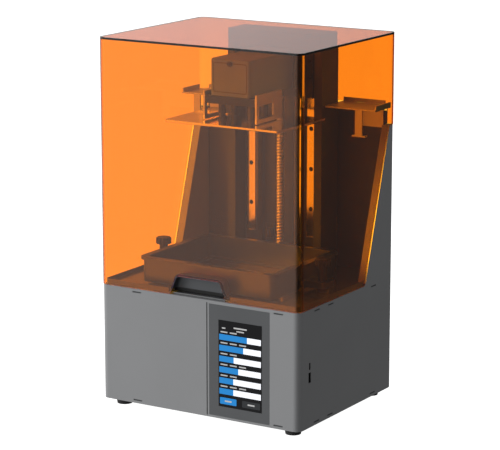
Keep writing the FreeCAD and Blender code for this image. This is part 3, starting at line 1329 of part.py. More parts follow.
def power_supply():
    """Supply board with its coil and terminals in a slotted steel case on the base pan."""
    z0 = PAN_TOP_Z
    z1 = z0 + SUPPLY_HEIGHT
    sheet = SUPPLY_SHEET
    case = block(SUPPLY_X0, SUPPLY_X1, SUPPLY_Y0, SUPPLY_Y1, z0, z1)
    room = block(SUPPLY_X0 + sheet, SUPPLY_X1 - sheet, SUPPLY_Y0 - 1, SUPPLY_Y1 - sheet,
                 z0 + sheet, z1 - sheet)
    slots = []
    for index in range(SUPPLY_SLOT_COUNT):
        y = SUPPLY_Y0 + SUPPLY_MARGIN + SUPPLY_SLOT + index * SUPPLY_SLOT_PITCH
        slots.append(block(SUPPLY_X0 + SUPPLY_MARGIN, SUPPLY_X1 - SUPPLY_MARGIN, y,
                           y + SUPPLY_SLOT, z1 - 2 * sheet, z1 + 1))
    board_z = z0 + sheet + BOARD_THICKNESS
    middle_y = (SUPPLY_Y0 + SUPPLY_Y1) / 2
    parts = [
        block(SUPPLY_X0 + sheet, SUPPLY_X1 - sheet, SUPPLY_Y0 + SUPPLY_SLOT, SUPPLY_Y1 - sheet,
              z0 + sheet, board_z),
        block(SUPPLY_X0 + SUPPLY_MARGIN, SUPPLY_X1 - SUPPLY_MARGIN, middle_y,
              middle_y + SUPPLY_COIL_LENGTH, board_z, board_z + SUPPLY_COIL_HEIGHT),
        block(SUPPLY_X0 + SUPPLY_MARGIN, SUPPLY_X1 - SUPPLY_MARGIN, SUPPLY_Y0 + SUPPLY_SLOT,
              SUPPLY_Y0 + SUPPLY_SLOT + SUPPLY_TERMINAL_LENGTH, board_z,
              board_z + SUPPLY_TERMINAL_HEIGHT),
    ]
    return join([cut_all(case, [room] + slots)] + parts)

# ---------------------------------------------------------------- column
def column_cover():
    """Folded sheet round the column, open at the front between two flanges."""
    outer = block(-COLUMN_HALF, COLUMN_HALF, COLUMN_FRONT_Y, COLUMN_BACK_Y,
                  DECK_TOP_Z, COLUMN_TOP_Z)
    inner = block(-COLUMN_HALF + SHEET, COLUMN_HALF - SHEET, COLUMN_FRONT_Y + SHEET,
                  COLUMN_BACK_Y - SHEET, DECK_TOP_Z - 1, COLUMN_TOP_Z - SHEET)
    opening = block(-COLUMN_HALF + COLUMN_FLANGE, COLUMN_HALF - COLUMN_FLANGE,
                    COLUMN_FRONT_Y - 1, COLUMN_FRONT_Y + SHEET + 1,
                    DECK_TOP_Z - 1, COLUMN_TOP_Z - COLUMN_HEADER)
    return outer.cut(inner).cut(opening)


def column_spine():
    """Machined backbone with a trough between its two rail seats."""
    spine = block(-SPINE_HALF, SPINE_HALF, SPINE_FRONT_Y, COLUMN_BACK_Y - SHEET,
                  DECK_TOP_Z, SPINE_TOP_Z)
    trough = block(-TROUGH_HALF, TROUGH_HALF, SPINE_FRONT_Y - 1, TROUGH_FLOOR_Y,
                   DECK_TOP_Z - 1, SPINE_TOP_Z + 1)
    return spine.cut(trough)


def rail_hole_heights():
    heights = []
    z = RAIL_BOTTOM_Z + RAIL_HOLE_FIRST
    while z < RAIL_TOP_Z - RAIL_HOLE_FIRST:
        heights.append(z)
        z += RAIL_HOLE_PITCH
    return heights


def linear_rails():
    """Two hardened rails with waisted sides and counterbored screw holes."""
    rails = []
    for centre in (-RAIL_X, RAIL_X):
        rail = block(centre - RAIL_WIDTH / 2, centre + RAIL_WIDTH / 2, RAIL_FACE_Y, SPINE_FRONT_Y,
                     RAIL_BOTTOM_Z, RAIL_TOP_Z)
        cuts = [side_groove(centre + side * RAIL_WIDTH / 2, side) for side in (-1, 1)]
        for z in rail_hole_heights():
            cuts.append(small_rod(RAIL_HEAD_RADIUS + RAIL_HEAD_GAP,
                                  Vector(centre, RAIL_FACE_Y - 1, z), Y_AXIS,
                                  1 + RAIL_HEAD_SINK + RAIL_HEAD_HEIGHT))
            cuts.append(small_rod(RAIL_SCREW_RADIUS + HOLE_GAP, Vector(centre, RAIL_FACE_Y, z),
                                  Y_AXIS, RAIL_HEIGHT + 1))
        rails.append(cut_all(rail, cuts))
    return Part.makeCompound(rails)


def side_groove(x, side):
    """Waist down one side of a rail, wider at its mouth."""
    y0 = RAIL_FACE_Y + RAIL_GROOVE_SETBACK
    y1 = y0 + RAIL_GROOVE_HEIGHT
    slope = RAIL_GROOVE_HEIGHT / 6
    inner = x - side * RAIL_GROOVE_DEPTH
    bottom_z = RAIL_BOTTOM_Z - 1
    corners = [
        Vector(x + side, y0 - slope, bottom_z),
        Vector(inner, y0 + slope, bottom_z),
        Vector(inner, y1 - slope, bottom_z),
        Vector(x + side, y1 + slope, bottom_z),
    ]
    return polygon(corners).extrude(Vector(0, 0, RAIL_TOP_Z - RAIL_BOTTOM_Z + 2))


def rail_screws():
    """Socket screws sunk in the rails, through to the spine."""
    head_y = RAIL_FACE_Y + RAIL_HEAD_SINK
    shank_y = head_y + RAIL_HEAD_HEIGHT
    screws = []
    for x in (-RAIL_X, RAIL_X):
        for z in rail_hole_heights():
            head = small_rod(RAIL_HEAD_RADIUS, Vector(x, head_y, z), Y_AXIS, RAIL_HEAD_HEIGHT)
            key = small_rod(CAP_SCREW_KEY_RADIUS, Vector(x, head_y - 1, z), Y_AXIS,
                            1 + RAIL_HEAD_HEIGHT / 2, KEY_SIDE_COUNT)
            shank = small_rod(RAIL_SCREW_RADIUS, Vector(x, shank_y, z), Y_AXIS,
                              SPINE_FRONT_Y - shank_y)
            screws.append(head.cut(key).fuse(shank))
    return Part.makeCompound(screws)


# ---------------------------------------------------------------- ball screw drive
def lower_bearing_block():
    """Bridge over the coupler that carries the screw's lower bearing."""
    top_z = LOWER_BLOCK_TOP_Z
    leg_x = BLOCK_HALF - LOWER_BLOCK_LEG
    bridge = block(-BLOCK_HALF, BLOCK_HALF, BLOCK_FRONT_Y, TROUGH_FLOOR_Y, DECK_TOP_Z, top_z)
    room = block(-leg_x, leg_x, BLOCK_FRONT_Y - 1, TROUGH_FLOOR_Y + 1,
                 DECK_TOP_Z - 1, top_z - LOWER_BLOCK_PLATE)
    bore = rod(JOURNAL_RADIUS + RUNNING_GAP, Vector(0, SCREW_Y, DECK_TOP_Z), Z_AXIS,
               top_z - DECK_TOP_Z + 1)
    return bridge.cut(room).cut(bore)


def upper_bearing_block():
    body = block(-BLOCK_HALF, BLOCK_HALF, BLOCK_FRONT_Y, TROUGH_FLOOR_Y,
                 UPPER_BLOCK_Z0, UPPER_BLOCK_Z1)
    body = round_edges(body, BLOCK_ROUND,
                       lambda e: is_upright(e) and e.Vertexes[0].Point.y < SCREW_Y)
    bore = rod(JOURNAL_RADIUS + RUNNING_GAP, Vector(0, SCREW_Y, UPPER_BLOCK_Z0 - 1), Z_AXIS,
               UPPER_BLOCK_HEIGHT + 2)
    return body.cut(bore)


def ball_screw():
    middle = rod(SCREW_RADIUS, Vector(0, SCREW_Y, LOWER_BLOCK_TOP_Z + TOUCH), Z_AXIS,
                 UPPER_BLOCK_Z0 - LOWER_BLOCK_TOP_Z - 2 * TOUCH)
    journal = rod(JOURNAL_RADIUS, Vector(0, SCREW_Y, COUPLER_MIDDLE_Z), Z_AXIS,
                  UPPER_BLOCK_Z1 - SCREW_SHOULDER - COUPLER_MIDDLE_Z)
    return join([middle, journal])


def shaft_coupler():
    """Slotted coupler clamped on the motor shaft below and the screw's journal above."""
    body = rod(COUPLER_RADIUS, Vector(0, SCREW_Y, COUPLER_Z0), Z_AXIS, COUPLER_LENGTH)
    screw_hole = rod(JOURNAL_RADIUS, Vector(0, SCREW_Y, COUPLER_MIDDLE_Z), Z_AXIS, COUPLER_LENGTH)
    shaft_hole = rod(MOTOR_SHAFT_RADIUS, Vector(0, SCREW_Y, COUPLER_Z0 - 1), Z_AXIS,
                     COUPLER_GRIP + 1)
    reach = COUPLER_RADIUS + 1
    slots = []
    for side in (-1, 1):
        z = COUPLER_MIDDLE_Z + side * COUPLER_GRIP / 3
        slots.append(block(min(0, side * reach), max(0, side * reach), SCREW_Y - reach,
                           SCREW_Y + reach, z, z + COUPLER_SLOT))
    return cut_all(body, [screw_hole, shaft_hole] + slots)


def motor_shaft():
    z0 = SHOULDER_Z - MOTOR_SHAFT_SEAT
    return rod(MOTOR_SHAFT_RADIUS, Vector(0, SCREW_Y, z0), Z_AXIS, COUPLER_MIDDLE_Z - z0)


def z_motor():
    """Stepper motor hung under the deck, with its pilot through it and a cable socket."""
    half = MOTOR_SIZE / 2
    z1 = SHOULDER_Z
    z0 = z1 - MOTOR_HEIGHT
    near = half - MOTOR_CHAMFER
    outline = [
        (half, -near), (half, near), (near, half), (-near, half),
        (-half, near), (-half, -near), (-near, -half), (near, -half),
    ]
    body = polygon([Vector(x, SCREW_Y + y, z0) for x, y in outline])
    body = body.extrude(Vector(0, 0, MOTOR_HEIGHT))
    waist = half - MOTOR_GROOVE
    grooves = []
    for z in (z0 + MOTOR_BAND, z1 - MOTOR_BAND):
        ring = block(-half - 1, half + 1, SCREW_Y - half - 1, SCREW_Y + half + 1,
                     z - MOTOR_GROOVE / 2, z + MOTOR_GROOVE / 2)
        core = block(-waist, waist, SCREW_Y - waist, SCREW_Y + waist, z - 1, z + 1)
        grooves.append(ring.cut(core))
    pilot = rod(MOTOR_PILOT_RADIUS, Vector(0, SCREW_Y, z1), Z_AXIS, MOTOR_PILOT_HEIGHT)
    socket = block(-MOTOR_SOCKET_WIDTH / 2, MOTOR_SOCKET_WIDTH / 2,
                   SCREW_Y - half - MOTOR_SOCKET_DEPTH, SCREW_Y - half,
                   z0, z0 + MOTOR_SOCKET_HEIGHT)
    bore = rod(MOTOR_SHAFT_RADIUS + RUNNING_GAP, Vector(0, SCREW_Y, z1 - MOTOR_SHAFT_SEAT - TOUCH),
               Z_AXIS, MOTOR_SHAFT_SEAT + MOTOR_PILOT_HEIGHT + 1)
    return join([cut_all(body, grooves), pilot, socket]).cut(bore)


def limit_sensor():
    """Small board with a forked light gate low in the trough."""
    x = SENSOR_X
    board_y = TROUGH_FLOOR_Y - SENSOR_BOARD
    fork_y = TROUGH_FLOOR_Y - SENSOR_FORK_REACH
    fork_z = SENSOR_Z0 + SENSOR_FORK_RISE
    board = block(x - SENSOR_BOARD_WIDTH / 2, x + SENSOR_BOARD_WIDTH / 2, board_y, TROUGH_FLOOR_Y,
                  SENSOR_Z0, SENSOR_Z0 + SENSOR_BOARD_HEIGHT)
    fork = block(x - SENSOR_FORK_WIDTH / 2, x + SENSOR_FORK_WIDTH / 2, fork_y, board_y,
                 fork_z, fork_z + SENSOR_FORK_HEIGHT)
    gap = block(x - SENSOR_GAP / 2, x + SENSOR_GAP / 2, fork_y - 1, board_y - SENSOR_BOARD,
                fork_z - 1, fork_z + SENSOR_FORK_HEIGHT + 1)
    return join([board, fork]).cut(gap)


# ---------------------------------------------------------------- carriage
def carriage_blocks():
    """Recirculating blocks that straddle the rails."""
    half = CARRIAGE_BLOCK_WIDTH / 2
    channel_half = RAIL_WIDTH / 2 + SLIDE_GAP
    front_y = CARRIAGE_BLOCK_FRONT_Y
    z0 = CARRIAGE_BLOCK_Z0
    z1 = CARRIAGE_Z1
    blocks = []
    for x in (-RAIL_X, RAIL_X):
        body = block(x - half, x + half, front_y, SPINE_FRONT_Y - SLIDE_FLOOR_GAP, z0, z1)
        cuts = [block(x - channel_half, x + channel_half, RAIL_FACE_Y - SLIDE_GAP,
                      SPINE_FRONT_Y, z0 - 1, z1 + 1)]
        for z in (z0 + CARRIAGE_SEAM_INSET, z1 - CARRIAGE_SEAM_INSET - CARRIAGE_SEAM):
            ring = block(x - half - 1, x + half + 1, front_y - 1, SPINE_FRONT_Y,
                         z, z + CARRIAGE_SEAM)
            core = block(x - half + CARRIAGE_SEAM_DEPTH, x + half - CARRIAGE_SEAM_DEPTH,
                         front_y - 2, SPINE_FRONT_Y, z - 1, z + CARRIAGE_SEAM + 1)
            cuts.append(ring.cut(core))
        blocks.append(cut_all(body, cuts))
    return Part.makeCompound(blocks)


def carriage_plate():
    plate = block(-CARRIAGE_PLATE_HALF, CARRIAGE_PLATE_HALF, CARRIAGE_FACE_Y,
                  CARRIAGE_BLOCK_FRONT_Y, CARRIAGE_Z0, CARRIAGE_Z1)
    window = block(-NUT_BRACKET_HALF, NUT_BRACKET_HALF, CARRIAGE_FACE_Y - 1,
                   CARRIAGE_BLOCK_FRONT_Y + 1, NUT_BRACKET_Z0, CARRIAGE_Z1 - CARRIAGE_WINDOW_GAP)
    passage = rod(NUT_RADIUS + NUT_PASSAGE_GAP, Vector(0, SCREW_Y, CARRIAGE_Z0 - 1), Z_AXIS,
                  CARRIAGE_PLATE_HEIGHT + 2)
    return plate.cut(window).cut(passage)


def nut_bracket():
    """Block that holds the nut in the plate, with a flag for the limit sensor."""
    back_y = NUT_BRACKET_BACK_Y
    z0 = NUT_BRACKET_Z0
    body = block(-NUT_BRACKET_HALF, NUT_BRACKET_HALF, CARRIAGE_FACE_Y, back_y,
                 z0, NUT_BRACKET_Z1)
    bore = rod(NUT_RADIUS, Vector(0, SCREW_Y, z0 - 1), Z_AXIS, NUT_BRACKET_HEIGHT + 2)
    flag_x = SENSOR_X - FLAG / 2
    arm_y = back_y - FLAG_ARM_SETBACK - FLAG_ARM
    arm = block(flag_x, -NUT_BRACKET_HALF, arm_y, arm_y + FLAG_ARM, z0, z0 + FLAG_ARM_HEIGHT)
    blade = block(flag_x, flag_x + FLAG, arm_y, TROUGH_FLOOR_Y - FLAG_TIP_GAP,
                  z0 - FLAG_DROP, z0 + FLAG_ARM_HEIGHT)
    return join([body.cut(bore), arm, blade])


def ball_nut():
    body = rod(NUT_RADIUS, Vector(0, SCREW_Y, NUT_BRACKET_Z0 - NUT_LIP), Z_AXIS,
               NUT_BRACKET_HEIGHT + NUT_LIP)
    flange = rod(NUT_FLANGE_RADIUS, Vector(0, SCREW_Y, NUT_BRACKET_Z1), Z_AXIS, NUT_FLANGE)
    trim = block(-NUT_FLANGE_RADIUS - 1, NUT_FLANGE_RADIUS + 1,
                 CARRIAGE_FACE_Y - NUT_FLANGE_RADIUS, CARRIAGE_FACE_Y + NUT_TRIM_GAP,
                 CARRIAGE_Z0, CARRIAGE_Z1)
    bore = rod(SCREW_RADIUS + RUNNING_GAP, Vector(0, SCREW_Y, CARRIAGE_Z0), Z_AXIS,
               CARRIAGE_PLATE_HEIGHT)
    return join([body, flange]).cut(trim).cut(bore)


def carriage_screws():
    """Cap screws through the carriage plate into the blocks."""
    y = CARRIAGE_FACE_Y - CAP_SCREW_HEIGHT
    screws = []
    for centre in (-RAIL_X, RAIL_X):
        for side in (-1, 1):
            x = centre - CARRIAGE_SCREW_SHIFT + side * CARRIAGE_SCREW_SPREAD
            for z in (CARRIAGE_BLOCK_Z0 + CARRIAGE_SCREW_INSET, CARRIAGE_Z1 - CARRIAGE_SCREW_INSET):
                head = small_rod(CAP_SCREW_RADIUS, Vector(x, y, z), Y_AXIS, CAP_SCREW_HEIGHT)
                key = small_rod(CAP_SCREW_KEY_RADIUS, Vector(x, y - 1, z), Y_AXIS,
                                1 + CAP_SCREW_HEIGHT / 2, KEY_SIDE_COUNT)
                screws.append(head.cut(key))
    return Part.makeCompound(screws)


# ---------------------------------------------------------------- arm and its cover
def arm_beam():
    """Cast arm: an I-section with a socket block in front for the platform's spigot."""
    front_y = ARM_COVER_FRONT_Y + ARM_COVER_WALL
    back_y = CARRIAGE_FACE_Y
    socket_half = SPIGOT_HALF + SPIGOT_GAP
    socket_back_y = SPIGOT_Y + socket_half + ARM_SOCKET_WALL
    beam = block(-ARM_HALF, ARM_HALF, front_y, back_y, ARM_BOTTOM_Z, ARM_TOP_Z)
    head = block(-ARM_HALF, ARM_HALF, front_y, socket_back_y, ARM_TOP_Z - 1, ARM_HEAD_TOP_Z)
    pocket_y1 = back_y - ARM_FLANGE
    rib_y = (socket_back_y + pocket_y1) / 2
    pockets = []
    for y0, y1 in ((socket_back_y, rib_y - ARM_WEB / 2), (rib_y + ARM_WEB / 2, pocket_y1)):
        pocket = block(ARM_WEB / 2, ARM_HALF + 1, y0, y1, ARM_BOTTOM_Z + ARM_FLANGE,
                       ARM_TOP_Z - ARM_FLANGE)
        pocket = round_edges(pocket, ARM_POCKET_ROUND, runs_along_x)
        pockets.append(pocket)
        pockets.append(mirrored(pocket))
    socket = block(-socket_half, socket_half, SPIGOT_Y - socket_half, SPIGOT_Y + socket_half,
                   ARM_BOTTOM_Z - 1, SPIGOT_TOP_Z + SPIGOT_GAP)
    screw_hole = rod(LOCK_SCREW_RADIUS + RUNNING_GAP, Vector(0, front_y - 1, LOCK_SCREW_Z), Y_AXIS,
                     SPIGOT_Y - front_y)
    return cut_all(join([beam, head]), pockets + [socket, screw_hole])


def arm_cover():
    """Moulded cover over the arm, open below and at the column."""
    wall = ARM_COVER_WALL
    outer = block(-ARM_COVER_HALF, ARM_COVER_HALF, ARM_COVER_FRONT_Y, ARM_COVER_BACK_Y,
                  ARM_BOTTOM_Z, ARM_COVER_TOP_Z)
    outer = round_edges(outer, ARM_COVER_ROUND,
                        lambda e: is_upright(e) and e.Vertexes[0].Point.y < SPIGOT_Y)
    top_edges = [
        edge for edge in outer.Edges
        if abs(edge.CenterOfMass.z - ARM_COVER_TOP_Z) < 1e-6
        and edge.CenterOfMass.y < ARM_COVER_BACK_Y - 1
    ]
    outer = outer.makeChamfer(ARM_COVER_BEVEL, top_edges)
    inner = block(-ARM_COVER_HALF + wall, ARM_COVER_HALF - wall, ARM_COVER_FRONT_Y + wall,
                  ARM_COVER_BACK_Y + 1, ARM_BOTTOM_Z - 1, ARM_COVER_TOP_Z - wall)
    screw_hole = rod(LOCK_SCREW_RADIUS + RUNNING_GAP,
                     Vector(0, ARM_COVER_FRONT_Y - 1, LOCK_SCREW_Z), Y_AXIS, wall + 2)
    return cut_all(outer, [inner, screw_hole])


def platform_lock_screw():
    head_y = ARM_COVER_FRONT_Y - TOUCH / 2
    tip_y = SPIGOT_Y - SPIGOT_HALF - TOUCH
    head = rod(LOCK_SCREW_HEAD_RADIUS, Vector(0, head_y - LOCK_SCREW_HEAD, LOCK_SCREW_Z), Y_AXIS,
               LOCK_SCREW_HEAD)
    shank = rod(LOCK_SCREW_RADIUS, Vector(0, head_y, LOCK_SCREW_Z), Y_AXIS, tip_y - head_y)
    key = small_rod(LOCK_SCREW_KEY_RADIUS, Vector(0, head_y - LOCK_SCREW_HEAD - 1, LOCK_SCREW_Z),
                    Y_AXIS, 1 + LOCK_SCREW_KEY_DEPTH, KEY_SIDE_COUNT)
    return join([head, shank]).cut(key)


# ---------------------------------------------------------------- build platform
def platform_bracket():
    """Centre block with a square spigot, between two side sheets with windows."""
    inner_x = BRACKET_HALF - BRACKET_SIDE_SHEET
    centre = block(-inner_x, inner_x, BRACKET_FRONT_Y, BRACKET_BACK_Y,
                   BRACKET_UNDER_Z, BRACKET_TOP_Z)
    side = block(inner_x, BRACKET_HALF, BRACKET_FRONT_Y, BRACKET_BACK_Y,
                 PLATE_TOP_Z + BRACKET_PLATE_GAP, BRACKET_SIDE_TOP_Z)
    window = block(inner_x - 1, BRACKET_HALF + 1, WINDOW_FRONT_Y, WINDOW_BACK_Y,
                   WINDOW_Z0, WINDOW_Z1)
    side = side.cut(round_edges(window, WINDOW_ROUND, runs_along_x))
    spigot = block(-SPIGOT_HALF, SPIGOT_HALF, SPIGOT_Y - SPIGOT_HALF, SPIGOT_Y + SPIGOT_HALF,
                   BRACKET_UNDER_Z, SPIGOT_TOP_Z)
    top_edges = [edge for edge in spigot.Edges if abs(edge.BoundBox.ZMin - SPIGOT_TOP_Z) < 1e-6]
    spigot = spigot.makeChamfer(SPIGOT_BEVEL, top_edges)
    holes = []
    for x, y in post_places():
        holes.append(small_rod(POST_NECK_RADIUS + HOLE_GAP, Vector(x, y, BRACKET_UNDER_Z - 1),
                               Z_AXIS, BRACKET_BLOCK + 2))
    return cut_all(join([centre, side, mirrored(side), spigot]), holes)


def post_places():
    return [(x, y) for x in (-POST_X, POST_X) for y in (POST_FRONT_Y, POST_BACK_Y)]


def levelling_posts():
    """Four posts between the plate and the bracket's block, with necks through the block."""
    posts = []
    for x, y in post_places():
        foot = small_rod(POST_RADIUS + POST_FOOT, Vector(x, y, PLATE_TOP_Z), Z_AXIS,
                         POST_FOOT_HEIGHT)
        post = small_rod(POST_RADIUS, Vector(x, y, PLATE_TOP_Z), Z_AXIS,
                         BRACKET_UNDER_Z - PLATE_TOP_Z)
        neck = small_rod(POST_NECK_RADIUS, Vector(x, y, BRACKET_UNDER_Z), Z_AXIS, BRACKET_BLOCK)
        posts.append(join([foot, post, neck]))
    return Part.makeCompound(posts)


def build_plate():
    """Ground aluminium plate with bevelled edges."""
    plate = rounded_block(-PLATE_HALF_X, PLATE_HALF_X, PLATE_FRONT_Y, PLATE_BACK_Y,
                          PLATE_BOTTOM_Z, PLATE_TOP_Z, PLATE_CORNER)
    bottom = [edge for edge in plate.Edges if abs(edge.BoundBox.ZMax - PLATE_BOTTOM_Z) < 1e-6]
    return plate.makeChamfer(PLATE_BEVEL, bottom)


# ---------------------------------------------------------------- resin vat
def vat_frame():
    """One-piece vat: walls, rim, floor edge round the film and two ears."""
    walls = rounded_block(-VAT_WALL_HALF_X, VAT_WALL_HALF_X, VAT_WALL_FRONT_Y, VAT_WALL_BACK_Y,
                          VAT_BOTTOM_Z, VAT_RIM_TOP_Z, VAT_CORNER)
    rim = rounded_block(-VAT_RIM_HALF_X, VAT_RIM_HALF_X, VAT_RIM_FRONT_Y, VAT_RIM_BACK_Y,
                        VAT_RIM_TOP_Z - VAT_RIM_HEIGHT, VAT_RIM_TOP_Z,
                        VAT_CORNER + VAT_RIM_OVERHANG)
    ear = rounded_block(VAT_WALL_HALF_X - VAT_CORNER, EAR_REACH_X, EAR_Y - EAR_HALF_Y,
                        EAR_Y + EAR_HALF_Y, EAR_Z0, EAR_Z0 + EAR_THICKNESS, EAR_CORNER)
    cavity = rounded_block(-VAT_WALL_HALF_X + VAT_WALL, VAT_WALL_HALF_X - VAT_WALL,
                           VAT_WALL_FRONT_Y + VAT_WALL, VAT_WALL_BACK_Y - VAT_WALL / 2,
                           VAT_BOTTOM_Z + VAT_FLOOR, VAT_RIM_TOP_Z + 1, VAT_INNER_CORNER)
    window = rounded_block(-FILM_HALF_X, FILM_HALF_X, FILM_FRONT_Y, FILM_BACK_Y,
                           VAT_BOTTOM_Z - 1, VAT_RIM_TOP_Z, FILM_CORNER)
    holes = []
    for x in (-KNOB_X, KNOB_X):
        holes.append(rod(KNOB_STUD_RADIUS + RUNNING_GAP, Vector(x, EAR_Y, EAR_Z0 - 1), Z_AXIS,
                         EAR_THICKNESS + 2))
    frame = join([walls, rim, ear, mirrored(ear)])
    return cut_all(frame, [cavity, window] + holes)


def film_sheet(z0, z1):
    """Outline of the film and of its clamp under the vat."""
    half_x = VAT_WALL_HALF_X - CLAMP_SIDE_INSET
    return rounded_block(-half_x, half_x, VAT_WALL_FRONT_Y + CLAMP_FRONT_INSET,
                         VAT_WALL_BACK_Y - CLAMP_BACK_INSET, z0, z1, FILM_CORNER)


def release_film():
    return film_sheet(VAT_BOTTOM_Z - FILM_THICKNESS, VAT_BOTTOM_Z)


def film_clamp():
    """Ring under the vat that holds the film tight round the exposure screen."""
    z1 = VAT_BOTTOM_Z - FILM_THICKNESS
    z0 = z1 - FILM_CLAMP_HEIGHT
    inner = block(-SCREEN_HALF_X - FILM_CLAMP_GAP, SCREEN_HALF_X + FILM_CLAMP_GAP,
                  SCREEN_FRONT_Y - FILM_CLAMP_GAP, SCREEN_BACK_Y + FILM_CLAMP_GAP, z0 - 1, z1 + 1)
    return film_sheet(z0, z1).cut(inner)


def fluted_outline(x, z, share):
    """Corners of the knob's fluted cap, all at one share of its full radius."""
    points = []
    for index in range(2 * KNOB_FLUTES):
        radius = share * (KNOB_CAP_RADIUS - (index % 2) * KNOB_FLUTE_DEPTH)
        angle = math.pi * index / KNOB_FLUTES
        points.append(Vector(x + radius * math.cos(angle), EAR_Y + radius * math.sin(angle), z))
    return points


def vat_knob(x):
    """Fluted thumb screw that holds the vat's ear to the deck."""
    cap_z0 = KNOB_TOP_Z - KNOB_CAP_HEIGHT
    bevel_z = KNOB_TOP_Z - KNOB_TOP_BEVEL
    top_share = (KNOB_CAP_RADIUS - KNOB_TOP_BEVEL) / KNOB_CAP_RADIUS
    cap = polygon(fluted_outline(x, cap_z0, 1.0)).extrude(Vector(0, 0, bevel_z - cap_z0))
    top = frustum(fluted_outline(x, bevel_z, 1.0), fluted_outline(x, KNOB_TOP_Z, top_share))
    stem_z0 = EAR_Z0 + EAR_THICKNESS + TOUCH
    stem = rod(KNOB_STEM_RADIUS, Vector(x, EAR_Y, stem_z0), Z_AXIS, cap_z0 - stem_z0)
    stud_z0 = DECK_TOP_Z - KNOB_STUD_DEPTH
    stud = rod(KNOB_STUD_RADIUS, Vector(x, EAR_Y, stud_z0), Z_AXIS, stem_z0 - stud_z0)
    return join([cap, top, stem, stud])


# ---------------------------------------------------------------- lid
def handle_outline(margin, bottom_z):
    """Corners of the handle notch, grown by a margin on its sides and top."""
    top_z = LID_BOTTOM_Z + HANDLE_HEIGHT
    slope = (HANDLE_HALF_BOTTOM - HANDLE_HALF_TOP) / HANDLE_HEIGHT
    low = HANDLE_HALF_BOTTOM + margin + slope * (LID_BOTTOM_Z - bottom_z)
    high = HANDLE_HALF_TOP + margin - slope * margin
    return [(-low, bottom_z), (low, bottom_z), (high, top_z + margin), (-high, top_z + margin)]


def handle_prism(margin, bottom_z, y0, y1, radius):
    solid = front_prism(handle_outline(margin, bottom_z), y0, y1)
    top_z = LID_BOTTOM_Z + HANDLE_HEIGHT + margin
    return round_edges(solid, radius,
                       lambda e: runs_along_y(e) and abs(e.BoundBox.ZMin - top_z) < 1e-6)


def lid_shell():
    """Clear tinted lid: flat walls, round upright corners, slanted rear edges."""
    outer = rounded_block(-HALF_X, HALF_X, -HALF_Y, HALF_Y, LID_BOTTOM_Z, HEIGHT, CORNER_RADIUS)
    inner = rounded_block(-LID_INNER_X, LID_INNER_X, -LID_INNER_Y, LID_INNER_Y,
                          LID_BOTTOM_Z - 1, HEIGHT - ACRYLIC, CORNER_RADIUS - ACRYLIC)
    below = side_prism(
        side_outline(SLANT_FOOT_Y, LID_BOTTOM_Z, SLANT_TOP_Y, LID_STEP_Z, HALF_Y + 1, 0),
        -HALF_X - 1,
        HALF_X + 1,
    )
    below = round_edges(below, SLANT_ROUND + LID_GAP,
                        lambda e: along_x(e, SLANT_FOOT_Y, LID_BOTTOM_Z))
    rear_gap = block(-UPRIGHT_INNER_X, UPRIGHT_INNER_X, LID_INNER_Y - 1, HALF_Y + 1,
                     LID_STEP_Z - 1, LID_REAR_EDGE_Z)
    cup_y1 = -LID_INNER_Y + HANDLE_DEPTH
    cup = handle_prism(HANDLE_WALL, LID_BOTTOM_Z + DECK_LIP_HEIGHT, -LID_INNER_Y, cup_y1,
                       HANDLE_ROUND + HANDLE_WALL)
    shell = join([outer.cut(inner), cup])
    return cut_all(shell, [below, rear_gap, finger_room(cup_y1 - HANDLE_WALL)])


def finger_room(back_y):
    """Space of the handle: open in front and below, rounded where it meets its back wall."""
    room = handle_prism(0.0, LID_BOTTOM_Z - 3, -HALF_Y - 1, back_y, HANDLE_ROUND)

    def top_back(edge):
        box = edge.BoundBox
        return box.YMin > back_y - 1e-6 and box.ZMax > LID_BOTTOM_Z

    return round_edges(room, HANDLE_BACK_ROUND, top_back)


